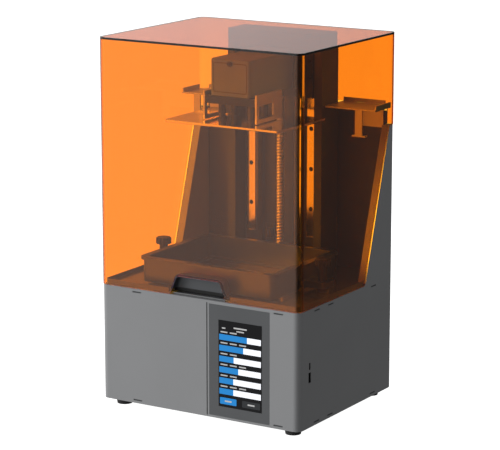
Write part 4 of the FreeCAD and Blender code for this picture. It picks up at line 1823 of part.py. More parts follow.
def right_hinge_plate():
    """Folded plate inside the lid: shelf, rear and side flanges, leg and hinge knuckle."""
    side_x = LID_INNER_X
    rear_y = LID_INNER_Y
    corner_y = rear_y - CORNER_RADIUS
    front_y = HINGE_PLATE_FRONT_Y
    z0 = HINGE_PLATE_Z0
    z1 = LID_REAR_EDGE_Z
    knuckle_x0 = HINGE_X0 + KNUCKLE_END + KNUCKLE_SIDE_GAP
    knuckle_x1 = HINGE_X1 - KNUCKLE_END - KNUCKLE_SIDE_GAP
    web_y = HINGE_Y - KNUCKLE_RADIUS - HINGE_SHEET
    shelf = block(HINGE_PLATE_X0, side_x, front_y, rear_y, z0, z1)
    knuckle_room = block(HINGE_X0 - 1, HINGE_X1 + 1, web_y + KNUCKLE_SIDE_GAP, rear_y + 1,
                         z0 - 1, z1 + 1)
    corner_room = block(UPRIGHT_INNER_X - 1, side_x + 1, corner_y, rear_y + 1, z0 - 1, z1 + 1)
    rear_flange = block(HINGE_PLATE_X0, UPRIGHT_INNER_X - HINGE_SHEET, rear_y - HINGE_SHEET,
                        rear_y, z1, z1 + HINGE_FLANGE_RISE)
    side_flange = block(side_x - HINGE_SHEET, side_x, front_y + HINGE_SHEET, corner_y,
                        z1, z1 + HINGE_FLANGE_RISE)
    leg = block(HINGE_LEG_X0, HINGE_LEG_X1, front_y, front_y + HINGE_SHEET,
                z0 - HINGE_LEG_DROP, z0)
    foot = block(HINGE_LEG_X0 - HINGE_FOOT_SPREAD, HINGE_LEG_X1 + HINGE_FOOT_SPREAD,
                 front_y, front_y + HINGE_FOOT_DEPTH,
                 z0 - HINGE_LEG_DROP - HINGE_SHEET / 2, z0 - HINGE_LEG_DROP + HINGE_SHEET / 2)
    knuckle = rod(KNUCKLE_RADIUS, Vector(knuckle_x0, HINGE_Y, HINGE_Z), X_AXIS,
                  knuckle_x1 - knuckle_x0)
    web = block(knuckle_x0, knuckle_x1, web_y, HINGE_Y, z0, HINGE_Z + KNUCKLE_RADIUS)
    bridge = block(knuckle_x0, knuckle_x1, web_y, rear_y, z0, z1)
    plate = shelf.cut(knuckle_room).cut(corner_room)
    plate = join([plate, rear_flange, side_flange, leg, foot, web, bridge, knuckle])
    pin_hole = rod(HINGE_PIN_RADIUS + RUNNING_GAP, Vector(HINGE_X0 - 1, HINGE_Y, HINGE_Z), X_AXIS,
                   HINGE_WIDTH + 2)
    return plate.cut(pin_hole)


def hinge_leaf():
    """Fixed leaf on the rear panel with two knuckles and the pin between them."""
    y1 = REAR_INNER_Y
    y0 = y1 - HINGE_SHEET
    parts = [
        block(HINGE_X0, HINGE_X1, y0, y1, REAR_PANEL_TOP_Z - HINGE_LEAF_DROP, REAR_PANEL_TOP_Z),
        rod(HINGE_PIN_RADIUS, Vector(HINGE_X0, HINGE_Y, HINGE_Z), X_AXIS, HINGE_WIDTH),
    ]
    for x in (HINGE_X0, HINGE_X1 - KNUCKLE_END):
        parts.append(rod(KNUCKLE_RADIUS, Vector(x, HINGE_Y, HINGE_Z), X_AXIS, KNUCKLE_END))
        parts.append(block(x, x + KNUCKLE_END, y0, y1, REAR_PANEL_TOP_Z - 1, HINGE_Z))
    return join(parts)


# ---------------------------------------------------------------- the whole printer
def build_nodes():
    upright = right_upright()
    plate = right_hinge_plate()
    lamp_fan = (LAMP_FAN_SIZE, LAMP_FAN_THICKNESS)
    exhaust_fan = (EXHAUST_FAN_SIZE, EXHAUST_FAN_THICKNESS)
    return {
        "base_shell": base_shell(),
        "left_upright": mirrored(upright),
        "right_upright": upright,
        "base_pan": base_pan(),
        "rear_panel": rear_panel(),
        "rubber_feet": rubber_feet(),
        "foot_screws": foot_screws(),
        "deck_plate": deck_plate(),
        "exposure_screen": exposure_screen(),
        "light_box": light_box(),
        "lens_array": lens_array(),
        "led_board": led_board(),
        "led_chips": led_chips(),
        "heat_sink": heat_sink(),
        "lamp_fan_frame": place_lamp_fan(fan_frame(*lamp_fan)),
        "lamp_fan_rotor": place_lamp_fan(fan_rotor(*lamp_fan)),
        "exhaust_fan_frame": place_exhaust_fan(fan_frame(*exhaust_fan)),
        "exhaust_fan_rotor": place_exhaust_fan(fan_rotor(*exhaust_fan)),
        "screen_surround": screen_surround(),
        "touchscreen_glass": touchscreen_glass(),
        "display_module": display_module(),
        "usb_a_socket": usb_socket(USB_A_Z, USB_A_HEIGHT, USB_A_WIDTH, USB_A_DEPTH, USB_A_TONGUE),
        "usb_c_socket": usb_socket(USB_C_Z, USB_C_HEIGHT, USB_C_WIDTH, USB_C_DEPTH, USB_C_TONGUE),
        "power_inlet": power_inlet(),
        "switch_housing": switch_housing(),
        "switch_rocker": switch_rocker(),
        "mainboard": mainboard(),
        "mainboard_parts": mainboard_parts(),
        "power_supply": power_supply(),
        "column_cover": column_cover(),
        "column_spine": column_spine(),
        "linear_rails": linear_rails(),
        "rail_screws": rail_screws(),
        "lower_bearing_block": lower_bearing_block(),
        "upper_bearing_block": upper_bearing_block(),
        "z_motor": z_motor(),
        "motor_shaft": motor_shaft(),
        "shaft_coupler": shaft_coupler(),
        "ball_screw": ball_screw(),
        "limit_sensor": limit_sensor(),
        "carriage_blocks": carriage_blocks(),
        "carriage_plate": carriage_plate(),
        "carriage_screws": carriage_screws(),
        "nut_bracket": nut_bracket(),
        "ball_nut": ball_nut(),
        "arm_beam": arm_beam(),
        "arm_cover": arm_cover(),
        "platform_lock_screw": platform_lock_screw(),
        "platform_bracket": platform_bracket(),
        "levelling_posts": levelling_posts(),
        "build_plate": build_plate(),
        "vat_frame": vat_frame(),
        "release_film": release_film(),
        "film_clamp": film_clamp(),
        "left_vat_knob": vat_knob(-KNOB_X),
        "right_vat_knob": vat_knob(KNOB_X),
        "lid_shell": lid_shell(),
        "left_hinge_plate": mirrored(plate),
        "right_hinge_plate": plate,
        "hinge_leaves": pair(hinge_leaf()),
    }


def main():
    os.makedirs("parts", exist_ok=True)
    for name, shape in build_nodes().items():
        shape.exportStep(os.path.join("parts", name + ".step"))
        print(name, len(shape.Solids), "solids", round(shape.Volume / 1000.0, 2), "cm3",
              "valid" if shape.isValid() else "NOT VALID")


main()
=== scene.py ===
import json
import math

import bmesh
import bpy
from mathutils import Matrix, Vector


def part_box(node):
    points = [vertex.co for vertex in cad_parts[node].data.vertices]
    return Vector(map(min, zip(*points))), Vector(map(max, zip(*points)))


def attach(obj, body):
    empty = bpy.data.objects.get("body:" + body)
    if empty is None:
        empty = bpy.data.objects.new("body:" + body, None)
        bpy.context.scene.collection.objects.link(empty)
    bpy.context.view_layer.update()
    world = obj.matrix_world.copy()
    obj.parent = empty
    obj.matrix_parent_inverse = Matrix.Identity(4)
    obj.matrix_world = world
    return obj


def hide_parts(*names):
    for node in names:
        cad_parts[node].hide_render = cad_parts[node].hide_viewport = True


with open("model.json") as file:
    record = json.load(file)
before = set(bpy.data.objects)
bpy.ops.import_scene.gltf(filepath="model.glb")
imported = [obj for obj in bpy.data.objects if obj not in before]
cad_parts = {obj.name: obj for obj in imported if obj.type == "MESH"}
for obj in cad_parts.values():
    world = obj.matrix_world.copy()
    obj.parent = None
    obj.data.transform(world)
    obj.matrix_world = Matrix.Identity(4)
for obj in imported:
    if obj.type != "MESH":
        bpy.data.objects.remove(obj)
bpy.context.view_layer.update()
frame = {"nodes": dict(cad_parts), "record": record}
NODES = frame["nodes"]

# ---------------------------------------------------------------- camera
AZIMUTH = 31.61
ELEVATION = 12.39
CAMERA_AT = (1.4749, -2.3924, 0.8473)
CAMERA_REACH = 50.0
LENS = 162.27
SENSOR = 36.0


def make_camera():
    """A long lens, to the right of the front and a little above the object."""
    azimuth = math.radians(AZIMUTH)
    elevation = math.radians(ELEVATION)
    back = Vector((math.sin(azimuth) * math.cos(elevation),
                   -math.cos(azimuth) * math.cos(elevation),
                   math.sin(elevation)))
    right = Vector((math.cos(azimuth), math.sin(azimuth), 0.0))
    up = back.cross(right)
    data = bpy.data.cameras.new("camera")
    data.lens = LENS
    data.sensor_width = SENSOR
    data.clip_end = CAMERA_REACH
    camera = bpy.data.objects.new("camera", data)
    bpy.context.scene.collection.objects.link(camera)
    turn = Matrix((right, up, back)).transposed().to_4x4()
    camera.matrix_world = Matrix.Translation(CAMERA_AT) @ turn
    bpy.context.scene.camera = camera


# ---------------------------------------------------------------- light and floor
WHITE = (1.0, 1.0, 1.0)
BRIGHT_SIDE = (-0.9, -0.35, -0.1)
BRIGHT = 1.2
DIM = 0.11
DIM_UNTIL = -0.3
BRIGHT_FROM = 0.69
SOFTBOX_SIZE = 1.6
SOFTBOX_AIM = (0.0, 0.0, 0.25)
KEY_PLACE = (-2.2, -1.85, 1.3)
KEY_POWER = 54.0
FILL_PLACE = (2.5, 1.44, 1.2)
FILL_POWER = 22.5
FLOOR_HALF = 8.0
FLOOR_GLOW = 1.05


def make_world():
    """A studio that is bright on the left and in front, and dim on the right."""
    world = bpy.data.worlds.new("studio")
    world.use_nodes = True
    nt = world.node_tree
    place = nt.nodes.new("ShaderNodeTexCoord")
    towards = nt.nodes.new("ShaderNodeVectorMath")
    towards.operation = "DOT_PRODUCT"
    towards.inputs[1].default_value = BRIGHT_SIDE
    nt.links.new(place.outputs["Generated"], towards.inputs[0])
    level = nt.nodes.new("ShaderNodeMapRange")
    level.interpolation_type = "SMOOTHSTEP"
    level.inputs["From Min"].default_value = DIM_UNTIL
    level.inputs["From Max"].default_value = BRIGHT_FROM
    level.inputs["To Min"].default_value = DIM
    level.inputs["To Max"].default_value = BRIGHT
    nt.links.new(towards.outputs["Value"], level.inputs["Value"])
    background = nt.nodes["Background"]
    background.inputs["Color"].default_value = (*WHITE, 1.0)
    nt.links.new(level.outputs["Result"], background.inputs["Strength"])
    bpy.context.scene.world = world


def make_softbox(name, place, power):
    """A square light that is turned to the object and doesn't show in reflections."""
    data = bpy.data.lights.new(name, "AREA")
    data.shape = "RECTANGLE"
    data.size = SOFTBOX_SIZE
    data.size_y = SOFTBOX_SIZE
    data.energy = power
    light = bpy.data.objects.new(name, data)
    bpy.context.scene.collection.objects.link(light)
    light.location = place
    direction = Vector(SOFTBOX_AIM) - Vector(place)
    light.rotation_euler = direction.to_track_quat("-Z", "Y").to_euler()
    light.visible_glossy = False


def make_floor():
    """A white floor that runs on behind the object."""
    mesh = bpy.data.meshes.new("floor")
    h = FLOOR_HALF
    mesh.from_pydata([(-h, -h, 0), (h, -h, 0), (h, h, 0), (-h, h, 0)], [], [(0, 1, 2, 3)])
    floor = bpy.data.objects.new("floor", mesh)
    bpy.context.scene.collection.objects.link(floor)
    mat = surface("studio_floor", (0.5, 0.5, 0.5), 0.8, grain=40.0, grain_depth=0.0002,
                  mottle=0.01, glow=FLOOR_GLOW, glow_colour=WHITE)
    mat.cycles.emission_sampling = "NONE"
    show_unreflected_only(mat.node_tree)
    floor.data.materials.append(mat)


def show_unreflected_only(nt):
    """Light that has been reflected passes the floor, so the studio below it lights the object."""
    path = nt.nodes.new("ShaderNodeLightPath")
    reflected = calculate(nt, "ADD", path.outputs["Glossy Depth"], path.outputs["Diffuse Depth"],
                          clamp=True)
    passing = nt.nodes.new("ShaderNodeBsdfTransparent")
    mix_shaders(nt, reflected, nt.nodes["Principled BSDF"], passing)


# ---------------------------------------------------------------- shader nodes
def calculate(nt, operation, *terms, clamp=False):
    """The socket with the result of one operation on sockets and numbers."""
    node = nt.nodes.new("ShaderNodeMath")
    node.operation = operation
    node.use_clamp = clamp
    for socket, term in zip(node.inputs, terms):
        if isinstance(term, float):
            socket.default_value = term
        else:
            nt.links.new(term, socket)
    return node.outputs["Value"]


def choose_colour(nt, choice, first, second):
    """The first colour where choice is 0, and the second one where it is 1."""
    node = nt.nodes.new("ShaderNodeMix")
    node.data_type = "RGBA"
    node.inputs["A"].default_value = (*first, 1.0)
    node.inputs["B"].default_value = (*second, 1.0)
    nt.links.new(choice, node.inputs["Factor"])
    return node.outputs["Result"]


def noise(nt, vector, scale, detail):
    """The socket with a cloudy value from about 0.3 to 0.7."""
    node = nt.nodes.new("ShaderNodeTexNoise")
    node.inputs["Scale"].default_value = scale
    node.inputs["Detail"].default_value = detail
    nt.links.new(vector, node.inputs["Vector"])
    return node.outputs["Fac"]


def bumps(nt, height, depth):
    """The bump node that makes a height of 0 to 1 as deep as depth, in metres."""
    node = nt.nodes.new("ShaderNodeBump")
    node.inputs["Strength"].default_value = 1.0
    node.inputs["Distance"].default_value = depth
    nt.links.new(height, node.inputs["Height"])
    return node


def mix_shaders(nt, share, first, second):
    """Gives the material's output the first shader where share is 0, and the second at 1."""
    mix = nt.nodes.new("ShaderNodeMixShader")
    nt.links.new(share, mix.inputs["Fac"])
    nt.links.new(first.outputs["BSDF"], mix.inputs[1])
    nt.links.new(second.outputs["BSDF"], mix.inputs[2])
    nt.links.new(mix.outputs["Shader"], nt.nodes["Material Output"].inputs["Surface"])


# ---------------------------------------------------------------- materials
NOISE_LOW = 0.3
NOISE_HIGH = 0.7
BROAD_DETAIL = 5.0
FINE_DETAIL = 3.0
LEAST_ROUGH = 0.02
BEVEL_SAMPLES = 4
CLEAR_IOR = 1.45
RIPPLE_SCALE = 9.0
RIPPLE_DETAIL = 2.0
RIPPLE_DEPTH = 0.00003
SAWN_TILT = 0.1
# Painted shade: the colour that darkens light through the lid's sawn edges.
SAWN_EDGE_SHADE = (0.06, 0.03, 0.03)
SAWN_ROUGH = 0.5
LID_TOP_BAND = 0.02
# Painted shade: within this distance of the middle plane the platform bracket is coloured dark,
# for the shade under the arm.
BRACKET_SHADE_HALF_WIDTH = 0.0368
BRACKET_PAINTED_SHADE = (0.035, 0.04, 0.045)


def surface(name, colour, rough, metal=0.0, grain=900.0, grain_depth=0.00001, mottle=0.05,
            mottle_scale=14.0, rough_swing=0.06, stretch=(1.0, 1.0, 1.0), bevel=0.0,
            specular=0.5, glow=0.0, glow_colour=None, inner=None):
    """An opaque finish: mottled colour, uneven gloss and a fine grain in the normal.

    inner gives a second colour, used as painted shade, to what lies nearer to the middle plane
    than its first value.
    """
    mat = bpy.data.materials.new(name)
    mat.use_nodes = True
    nt = mat.node_tree
    shader = nt.nodes["Principled BSDF"]
    shader.inputs["Metallic"].default_value = metal
    shader.inputs["Specular IOR Level"].default_value = specular
    if glow:
        shader.inputs["Emission Color"].default_value = (*(glow_colour or colour), 1.0)
        shader.inputs["Emission Strength"].default_value = glow
    place = nt.nodes.new("ShaderNodeTexCoord")
    scale = nt.nodes.new("ShaderNodeMapping")
    scale.inputs["Scale"].default_value = stretch
    nt.links.new(place.outputs["Object"], scale.inputs["Vector"])

    tone = nt.nodes.new("ShaderNodeMapRange")
    tone.inputs["From Min"].default_value = NOISE_LOW
    tone.inputs["From Max"].default_value = NOISE_HIGH
    tone.inputs["To Min"].default_value = 1.0 - mottle
    tone.inputs["To Max"].default_value = 1.0 + mottle
    nt.links.new(noise(nt, scale.outputs["Vector"], mottle_scale, BROAD_DETAIL),
                 tone.inputs["Value"])
    tint = nt.nodes.new("ShaderNodeMix")
    tint.data_type = "RGBA"
    tint.blend_type = "MULTIPLY"
    tint.inputs["Factor"].default_value = 1.0
    tint.inputs["A"].default_value = (*colour, 1.0)
    if inner:
        nt.links.new(split_by_middle(nt, place, inner, colour), tint.inputs["A"])
    nt.links.new(tone.outputs["Result"], tint.inputs["B"])
    nt.links.new(tint.outputs["Result"], shader.inputs["Base Color"])

    fine = noise(nt, scale.outputs["Vector"], grain, FINE_DETAIL)
    gloss = nt.nodes.new("ShaderNodeMapRange")
    gloss.inputs["To Min"].default_value = max(LEAST_ROUGH, rough - rough_swing)
    gloss.inputs["To Max"].default_value = min(1.0, rough + rough_swing)
    nt.links.new(fine, gloss.inputs["Value"])
    nt.links.new(gloss.outputs["Result"], shader.inputs["Roughness"])
    bump = bumps(nt, fine, grain_depth)
    if bevel:
        edge = nt.nodes.new("ShaderNodeBevel")
        edge.samples = BEVEL_SAMPLES
        edge.inputs["Radius"].default_value = bevel
        nt.links.new(edge.outputs["Normal"], bump.inputs["Normal"])
    nt.links.new(bump.outputs["Normal"], shader.inputs["Normal"])
    return mat


def split_by_middle(nt, place, inner, colour):
    """The inner colour up to inner[0] from the middle plane, and the other one beyond."""
    axes = nt.nodes.new("ShaderNodeSeparateXYZ")
    nt.links.new(place.outputs["Object"], axes.inputs["Vector"])
    off = calculate(nt, "ABSOLUTE", axes.outputs["X"])
    beyond = calculate(nt, "GREATER_THAN", off, inner[0])
    return choose_colour(nt, beyond, inner[1], colour)


def frost_and_shade_sawn_edges(nt, place, glass, below):
    """Faces that look up or down, lower than below, are sawn: frosted, and darkened by painted
    shade in their colour.
    """
    facing = nt.nodes.new("ShaderNodeSeparateXYZ")
    nt.links.new(place.outputs["Normal"], facing.inputs["Vector"])
    where = nt.nodes.new("ShaderNodeSeparateXYZ")
    nt.links.new(place.outputs["Object"], where.inputs["Vector"])
    tilt = calculate(nt, "ABSOLUTE", facing.outputs["Z"])
    is_tilted = calculate(nt, "GREATER_THAN", tilt, SAWN_TILT)
    is_low = calculate(nt, "LESS_THAN", where.outputs["Z"], below)
    sawn = calculate(nt, "MULTIPLY", is_tilted, is_low)
    nt.links.new(choose_colour(nt, sawn, WHITE, SAWN_EDGE_SHADE), glass.inputs["Base Color"])
    nt.links.new(calculate(nt, "MULTIPLY", sawn, SAWN_ROUGH), glass.inputs["Roughness"])


def clear(name, absorbed, given_back=WHITE, sawn_below=None):
    """A see-through finish that takes off so much of each colour in a metre.

    Light that comes in is multiplied by given_back, for what reaches the inside by other
    ways. sawn_below is the height under which sawn edges are frosted and get painted shade.
    """
    mat = bpy.data.materials.new(name)
    mat.use_nodes = True
    nt = mat.node_tree
    glass = nt.nodes["Principled BSDF"]
    glass.inputs["Base Color"].default_value = (*WHITE, 1.0)
    glass.inputs["Transmission Weight"].default_value = 1.0
    glass.inputs["Roughness"].default_value = 0.0
    glass.inputs["IOR"].default_value = CLEAR_IOR
    place = nt.nodes.new("ShaderNodeTexCoord")
    ripple = noise(nt, place.outputs["Object"], RIPPLE_SCALE, RIPPLE_DETAIL)
    nt.links.new(bumps(nt, ripple, RIPPLE_DEPTH).outputs["Normal"], glass.inputs["Normal"])
    if sawn_below:
        frost_and_shade_sawn_edges(nt, place, glass, sawn_below)
    passing = nt.nodes.new("ShaderNodeBsdfTransparent")
    passing.inputs["Color"].default_value = (*given_back, 1.0)
    path = nt.nodes.new("ShaderNodeLightPath")
    mix_shaders(nt, path.outputs["Is Shadow Ray"], glass, passing)
    body = nt.nodes.new("ShaderNodeVolumeAbsorption")
    strongest = max(absorbed)
    body.inputs["Color"].default_value = (*[1.0 - a / strongest for a in absorbed], 1.0)
    body.inputs["Density"].default_value = strongest
    nt.links.new(body.outputs["Volume"], nt.nodes["Material Output"].inputs["Volume"])
    return mat


FINISHES = {
    "grey_paint": surface("grey_paint", (0.205, 0.208, 0.213), 0.45, grain=1400.0,
                          grain_depth=0.000006, mottle=0.02, bevel=0.0006),
    "dark_paint": surface("dark_paint", (0.056, 0.060, 0.062), 0.5, grain=1400.0, mottle=0.03,
                          grain_depth=0.000004, bevel=0.0004, specular=0.25),
    "black_paint": surface("black_paint", (0.018, 0.018, 0.019), 0.45, bevel=0.0004),
    "rubber": surface("rubber", (0.012, 0.012, 0.012), 0.75, grain=700.0, grain_depth=0.00008),
    "steel": surface("steel", (0.86, 0.85, 0.84), 0.16, metal=1.0, grain=500.0,
                     grain_depth=0.000004, stretch=(1.0, 1.0, 0.05), bevel=0.0003),
    "black_steel": surface("black_steel", (0.012, 0.012, 0.013), 0.45, metal=0.2, bevel=0.0002),
    "screen_glass": surface("screen_glass", (0.004, 0.004, 0.005), 0.08, grain=60.0,
                            grain_depth=0.000003, mottle=0.02, rough_swing=0.02, specular=0.12),
    "dark_plastic": surface("dark_plastic", (0.02, 0.02, 0.02), 0.55, bevel=0.0004),
    "black_plastic": surface("black_plastic", (0.016, 0.016, 0.017), 0.5, bevel=0.0003),
    "panel_plastic": surface("panel_plastic", (0.06, 0.063, 0.067), 0.5, grain=1800.0,
                             bevel=0.0003),
    "cover_plastic": surface("cover_plastic", (0.105, 0.122, 0.122), 0.45, bevel=0.0006),
    "circuit_board": surface("circuit_board", (0.01, 0.06, 0.03), 0.4, mottle=0.3,
                             mottle_scale=220.0),
    "light_chip": surface("light_chip", (0.75, 0.68, 0.3), 0.3),
    "aluminium": surface("aluminium", (0.80, 0.80, 0.81), 0.32, metal=1.0, grain=420.0,
                         grain_depth=0.000005, stretch=(0.06, 1.0, 1.0), bevel=0.0004),
    "bare_metal": surface("bare_metal", (0.55, 0.54, 0.52), 0.32, metal=0.7, grain=420.0,
                          grain_depth=0.000005, stretch=(1.0, 0.06, 1.0), bevel=0.0003),
    "vat_metal": surface("vat_metal", (0.13, 0.145, 0.155), 0.36, metal=1.0, grain=900.0,
                         grain_depth=0.00001, bevel=0.0006),
    "knob_metal": surface("knob_metal", (0.03, 0.03, 0.03), 0.4, metal=0.3, bevel=0.0003),
    "clear_plastic": clear("clear_plastic", (9.0, 8.0, 6.0)),
    # The lid's sawn edges below the top band are frosted and get painted shade.
    "orange_acrylic": clear("orange_acrylic", (10.0, 223.0, 955.0), given_back=(0.9, 1.4, 2.6),
                            sawn_below=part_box("lid_shell")[1][2] - LID_TOP_BAND),
}

# Finishes of single nodes that differ from the rest of their slot.
UPRIGHT_PAINT = surface("upright_paint", (0.34, 0.33, 0.32), 0.5, grain=1400.0,
                        grain_depth=0.000004, mottle=0.03, bevel=0.0005)
DARK_ALUMINIUM = surface("dark_aluminium", (0.045, 0.045, 0.047), 0.4, metal=0.5, grain=420.0,
                         grain_depth=0.000005, stretch=(1.0, 1.0, 0.06), bevel=0.0004)
DECK_PAINT = surface("deck_paint", (0.07, 0.072, 0.075), 0.12, grain=1400.0,
                     grain_depth=0.000002, mottle=0.03, bevel=0.0004, specular=1.0)
# Bright metal side plates, with painted shade on the bracket's middle under the arm.
BRACKET_METAL = surface("bracket_metal", (0.62, 0.62, 0.63), 0.34, metal=1.0, grain=420.0,
                        grain_depth=0.000005, stretch=(1.0, 1.0, 0.06), bevel=0.0003,
                        inner=(BRACKET_SHADE_HALF_WIDTH, BRACKET_PAINTED_SHADE))
SCREW_STEEL = surface("screw_steel", (0.86, 0.85, 0.84), 0.42, metal=1.0, grain=900.0,
                      grain_depth=0.000003)
GROUND_PLATE = surface("ground_plate", (0.93, 0.93, 0.93), 0.14, metal=1.0, grain=420.0,
                       grain_depth=0.000003, stretch=(0.06, 1.0, 1.0), bevel=0.0003)
HANDLE_PLASTIC = surface("handle_plastic", (0.055, 0.058, 0.063), 0.5, grain=1600.0,
                         grain_depth=0.000005, mottle=0.03)
RAIL_STEEL = surface("rail_steel", (0.97, 0.96, 0.95), 0.12, metal=1.0, grain=500.0,
                     grain_depth=0.000002, rough_swing=0.03, stretch=(1.0, 1.0, 0.05))
CHOSEN = {
    "linear_rails": RAIL_STEEL,
    "deck_plate": DECK_PAINT,
    "build_plate": GROUND_PLATE,
    "platform_bracket": BRACKET_METAL,
    "levelling_posts": DARK_ALUMINIUM,
    "left_upright": UPRIGHT_PAINT,
    "right_upright": UPRIGHT_PAINT,
    "column_spine": DARK_ALUMINIUM,
    "carriage_plate": DARK_ALUMINIUM,
    "carriage_blocks": DARK_ALUMINIUM,
    "lower_bearing_block": DARK_ALUMINIUM,
    "upper_bearing_block": DARK_ALUMINIUM,
    "nut_bracket": DARK_ALUMINIUM,
    "limit_sensor": FINISHES["black_plastic"],
    "usb_a_socket": FINISHES["black_steel"],
    "usb_c_socket": FINISHES["black_steel"],
}


def dress_nodes():
    """Gives each CAD node its chosen finish, or the one of its material slot."""
    slots = {part["node"]: part["material_slot"] for part in frame["record"]["subparts"]}
    for name, node in NODES.items():
        node.data.materials.clear()
        node.data.materials.append(CHOSEN.get(name, FINISHES[slots[name]]))


# ---------------------------------------------------------------- making pieces
def make_piece(name, mesh, finish, body):
    """Turns mesh code into an object that rides on a body."""
    data = bpy.data.meshes.new(name)
    bmesh.ops.recalc_face_normals(mesh, faces=mesh.faces)
    mesh.to_mesh(data)
    mesh.free()
    piece = bpy.data.objects.new(name, data)
    bpy.context.scene.collection.objects.link(piece)
    data.materials.append(finish)
    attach(piece, body)
    return piece


def add_ring_faces(mesh, near, far):
    """Faces between two closed rings of points."""
    for i in range(len(near)):
        j = (i + 1) % len(near)
        mesh.faces.new((near[i], near[j], far[j], far[i]))


def add_strip_faces(mesh, near, far):
    """Faces between two open rows of points."""
    for i in range(len(near) - 1):
        mesh.faces.new((near[i], far[i], far[i + 1], near[i + 1]))


def rounded_outline(x0, x1, z0, z1, radius, steps=5):
    """Corner points of a rectangle with quarter-round corners."""
    points = []
    corners = [(x1 - radius, z1 - radius, 0.0), (x0 + radius, z1 - radius, 0.5),
               (x0 + radius, z0 + radius, 1.0), (x1 - radius, z0 + radius, 1.5)]
    for cx, cz, start in corners:
        for step in range(steps + 1):
            angle = math.pi * (start + 0.5 * step / steps)
            points.append((cx + radius * math.cos(angle), cz + radius * math.sin(angle)))
    return points


def add_tile(mesh, x0, x1, z0, z1, y_front, y_back, radius):
    """A thin tile that faces the front."""
    outline = rounded_outline(x0, x1, z0, z1, radius)
    front = [mesh.verts.new((x, y_front, z)) for x, z in outline]
    back = [mesh.verts.new((x, y_back, z)) for x, z in outline]
    mesh.faces.new(front)
    mesh.faces.new(back[::-1])
    add_ring_faces(mesh, front, back)


def add_block(mesh, low, high):
    """A block between two opposite corners."""
    corners = [mesh.verts.new((x, y, z)) for x in (low[0], high[0]) for y in (low[1], high[1])
               for z in (low[2], high[2])]
    for quad in ((0, 1, 3, 2), (4, 6, 7, 5), (0, 4, 5, 1), (2, 3, 7, 6), (0, 2, 6, 4),
                 (1, 5, 7, 3)):
        mesh.faces.new([corners[i] for i in quad])


# ---------------------------------------------------------------- touch screen picture
PICTURE_LIFT = 0.00012
PICTURE_SINK = 0.00002
PICTURE_MARGIN = 0.0012
HEADER_HEIGHT = 0.0165
HEADER_LIFT = 0.006
ROW_PITCH = 0.0139
ROW_HEIGHT = 0.0074
ROW_SHARES = (0.67, 0.58, 0.35, 0.46, 0.34, 0.34)
ROW_ROUND = 0.0004
MARK_LENGTH = 0.010
MARK_HEIGHT = 0.0016
MARK_ROUND = 0.0003
MARK_LIFT = 0.0022
MARK_INDENT = 0.002
MARK_PITCH = 0.0135
BUTTON_FOOT = 0.0035
BUTTON_HEIGHT = 0.0085
BUTTON_INSET = 0.001
BUTTON_ROUND = 0.001
LEFT_BUTTON_WIDTH = 0.024
RIGHT_BUTTON_WIDTH = 0.026
BUTTON_MARK_FOOT = 0.0033
BUTTON_MARK_HEIGHT = 0.0019
BUTTON_MARK_LIFT = 0.00005
LEFT_MARK_INSET = 0.008
RIGHT_MARK_INSET = 0.009
# Indent, length, height above the header's line, and height of each mark.
HEADER_MARKS = ((0.004, 0.005, 0.0012, MARK_HEIGHT), (0.021, 0.019, 0.0030, 0.0018),
                (0.025, 0.011, -0.0008, MARK_HEIGHT))


def make_screen_picture():
    """A generic menu: six rows with a level each, and two buttons."""
    low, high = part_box("touchscreen_glass")
    y_front = low[1] - PICTURE_LIFT
    y_back = low[1] - PICTURE_SINK
    x0 = low[0] + PICTURE_MARGIN
    x1 = high[0] - PICTURE_MARGIN
    top = high[2] - PICTURE_MARGIN - HEADER_HEIGHT
    blue = bmesh.new()
    white = bmesh.new()
    grey = bmesh.new()
    marks = bmesh.new()

    def add_mark(x, z, length=MARK_LENGTH, height=MARK_HEIGHT, lift=0.0):
        add_tile(marks, x, x + length, z, z + height, y_front - lift, y_back, MARK_ROUND)

    for row, share in enumerate(ROW_SHARES):
        z1 = top - row * ROW_PITCH
        z0 = z1 - ROW_HEIGHT
        middle = x0 + (x1 - x0) * share
        add_tile(blue, x0, middle, z0, z1, y_front, y_back, ROW_ROUND)
        add_tile(white, middle, x1, z0, z1, y_front, y_back, ROW_ROUND)
        for part in range(2 + row % 2):
            add_mark(x0 + MARK_INDENT + part * MARK_PITCH, z1 + MARK_LIFT)
    foot = low[2] + BUTTON_FOOT
    left = x0 + BUTTON_INSET
    right = x1 - BUTTON_INSET
    for mesh, start, end in ((blue, left, left + LEFT_BUTTON_WIDTH),
                             (grey, right - RIGHT_BUTTON_WIDTH, right)):
        add_tile(mesh, start, end, foot, foot + BUTTON_HEIGHT, y_front, y_back, BUTTON_ROUND)
    for x in (x0 + LEFT_MARK_INSET, x1 - RIGHT_MARK_INSET - MARK_LENGTH):
        add_mark(x, foot + BUTTON_MARK_FOOT, height=BUTTON_MARK_HEIGHT, lift=BUTTON_MARK_LIFT)
    for indent, length, above, height in HEADER_MARKS:
        add_mark(x0 + indent, top + HEADER_LIFT + above, length, height)
    lit = dict(grain=2600.0, mottle=0.04, mottle_scale=900.0, specular=0.12)
    pieces = (
        ("menu_levels", blue, surface("display_blue", (0.012, 0.16, 0.42), 0.3, glow=0.55, **lit)),
        ("menu_rests", white, surface("display_white", (0.35, 0.36, 0.38), 0.3, glow=2.1, **lit)),
        ("menu_button", grey, surface("display_grey", (0.03, 0.033, 0.036), 0.3, **lit)),
        ("menu_marks", marks, surface("display_marks", (0.3, 0.3, 0.3), 0.3, glow=0.7, **lit)),
    )
    for name, mesh, finish in pieces:
        make_piece(name, mesh, finish, "printer_base")


# ---------------------------------------------------------------- seam of the screen's surround
SEAM_OUTSIDE = 0.0008
SEAM_INSIDE = 0.0006
SEAM_FOOT = 0.0005
SEAM_LIFT = 0.00008
SEAM_SINK = 0.0002
SEAM_ROUND = 0.0002


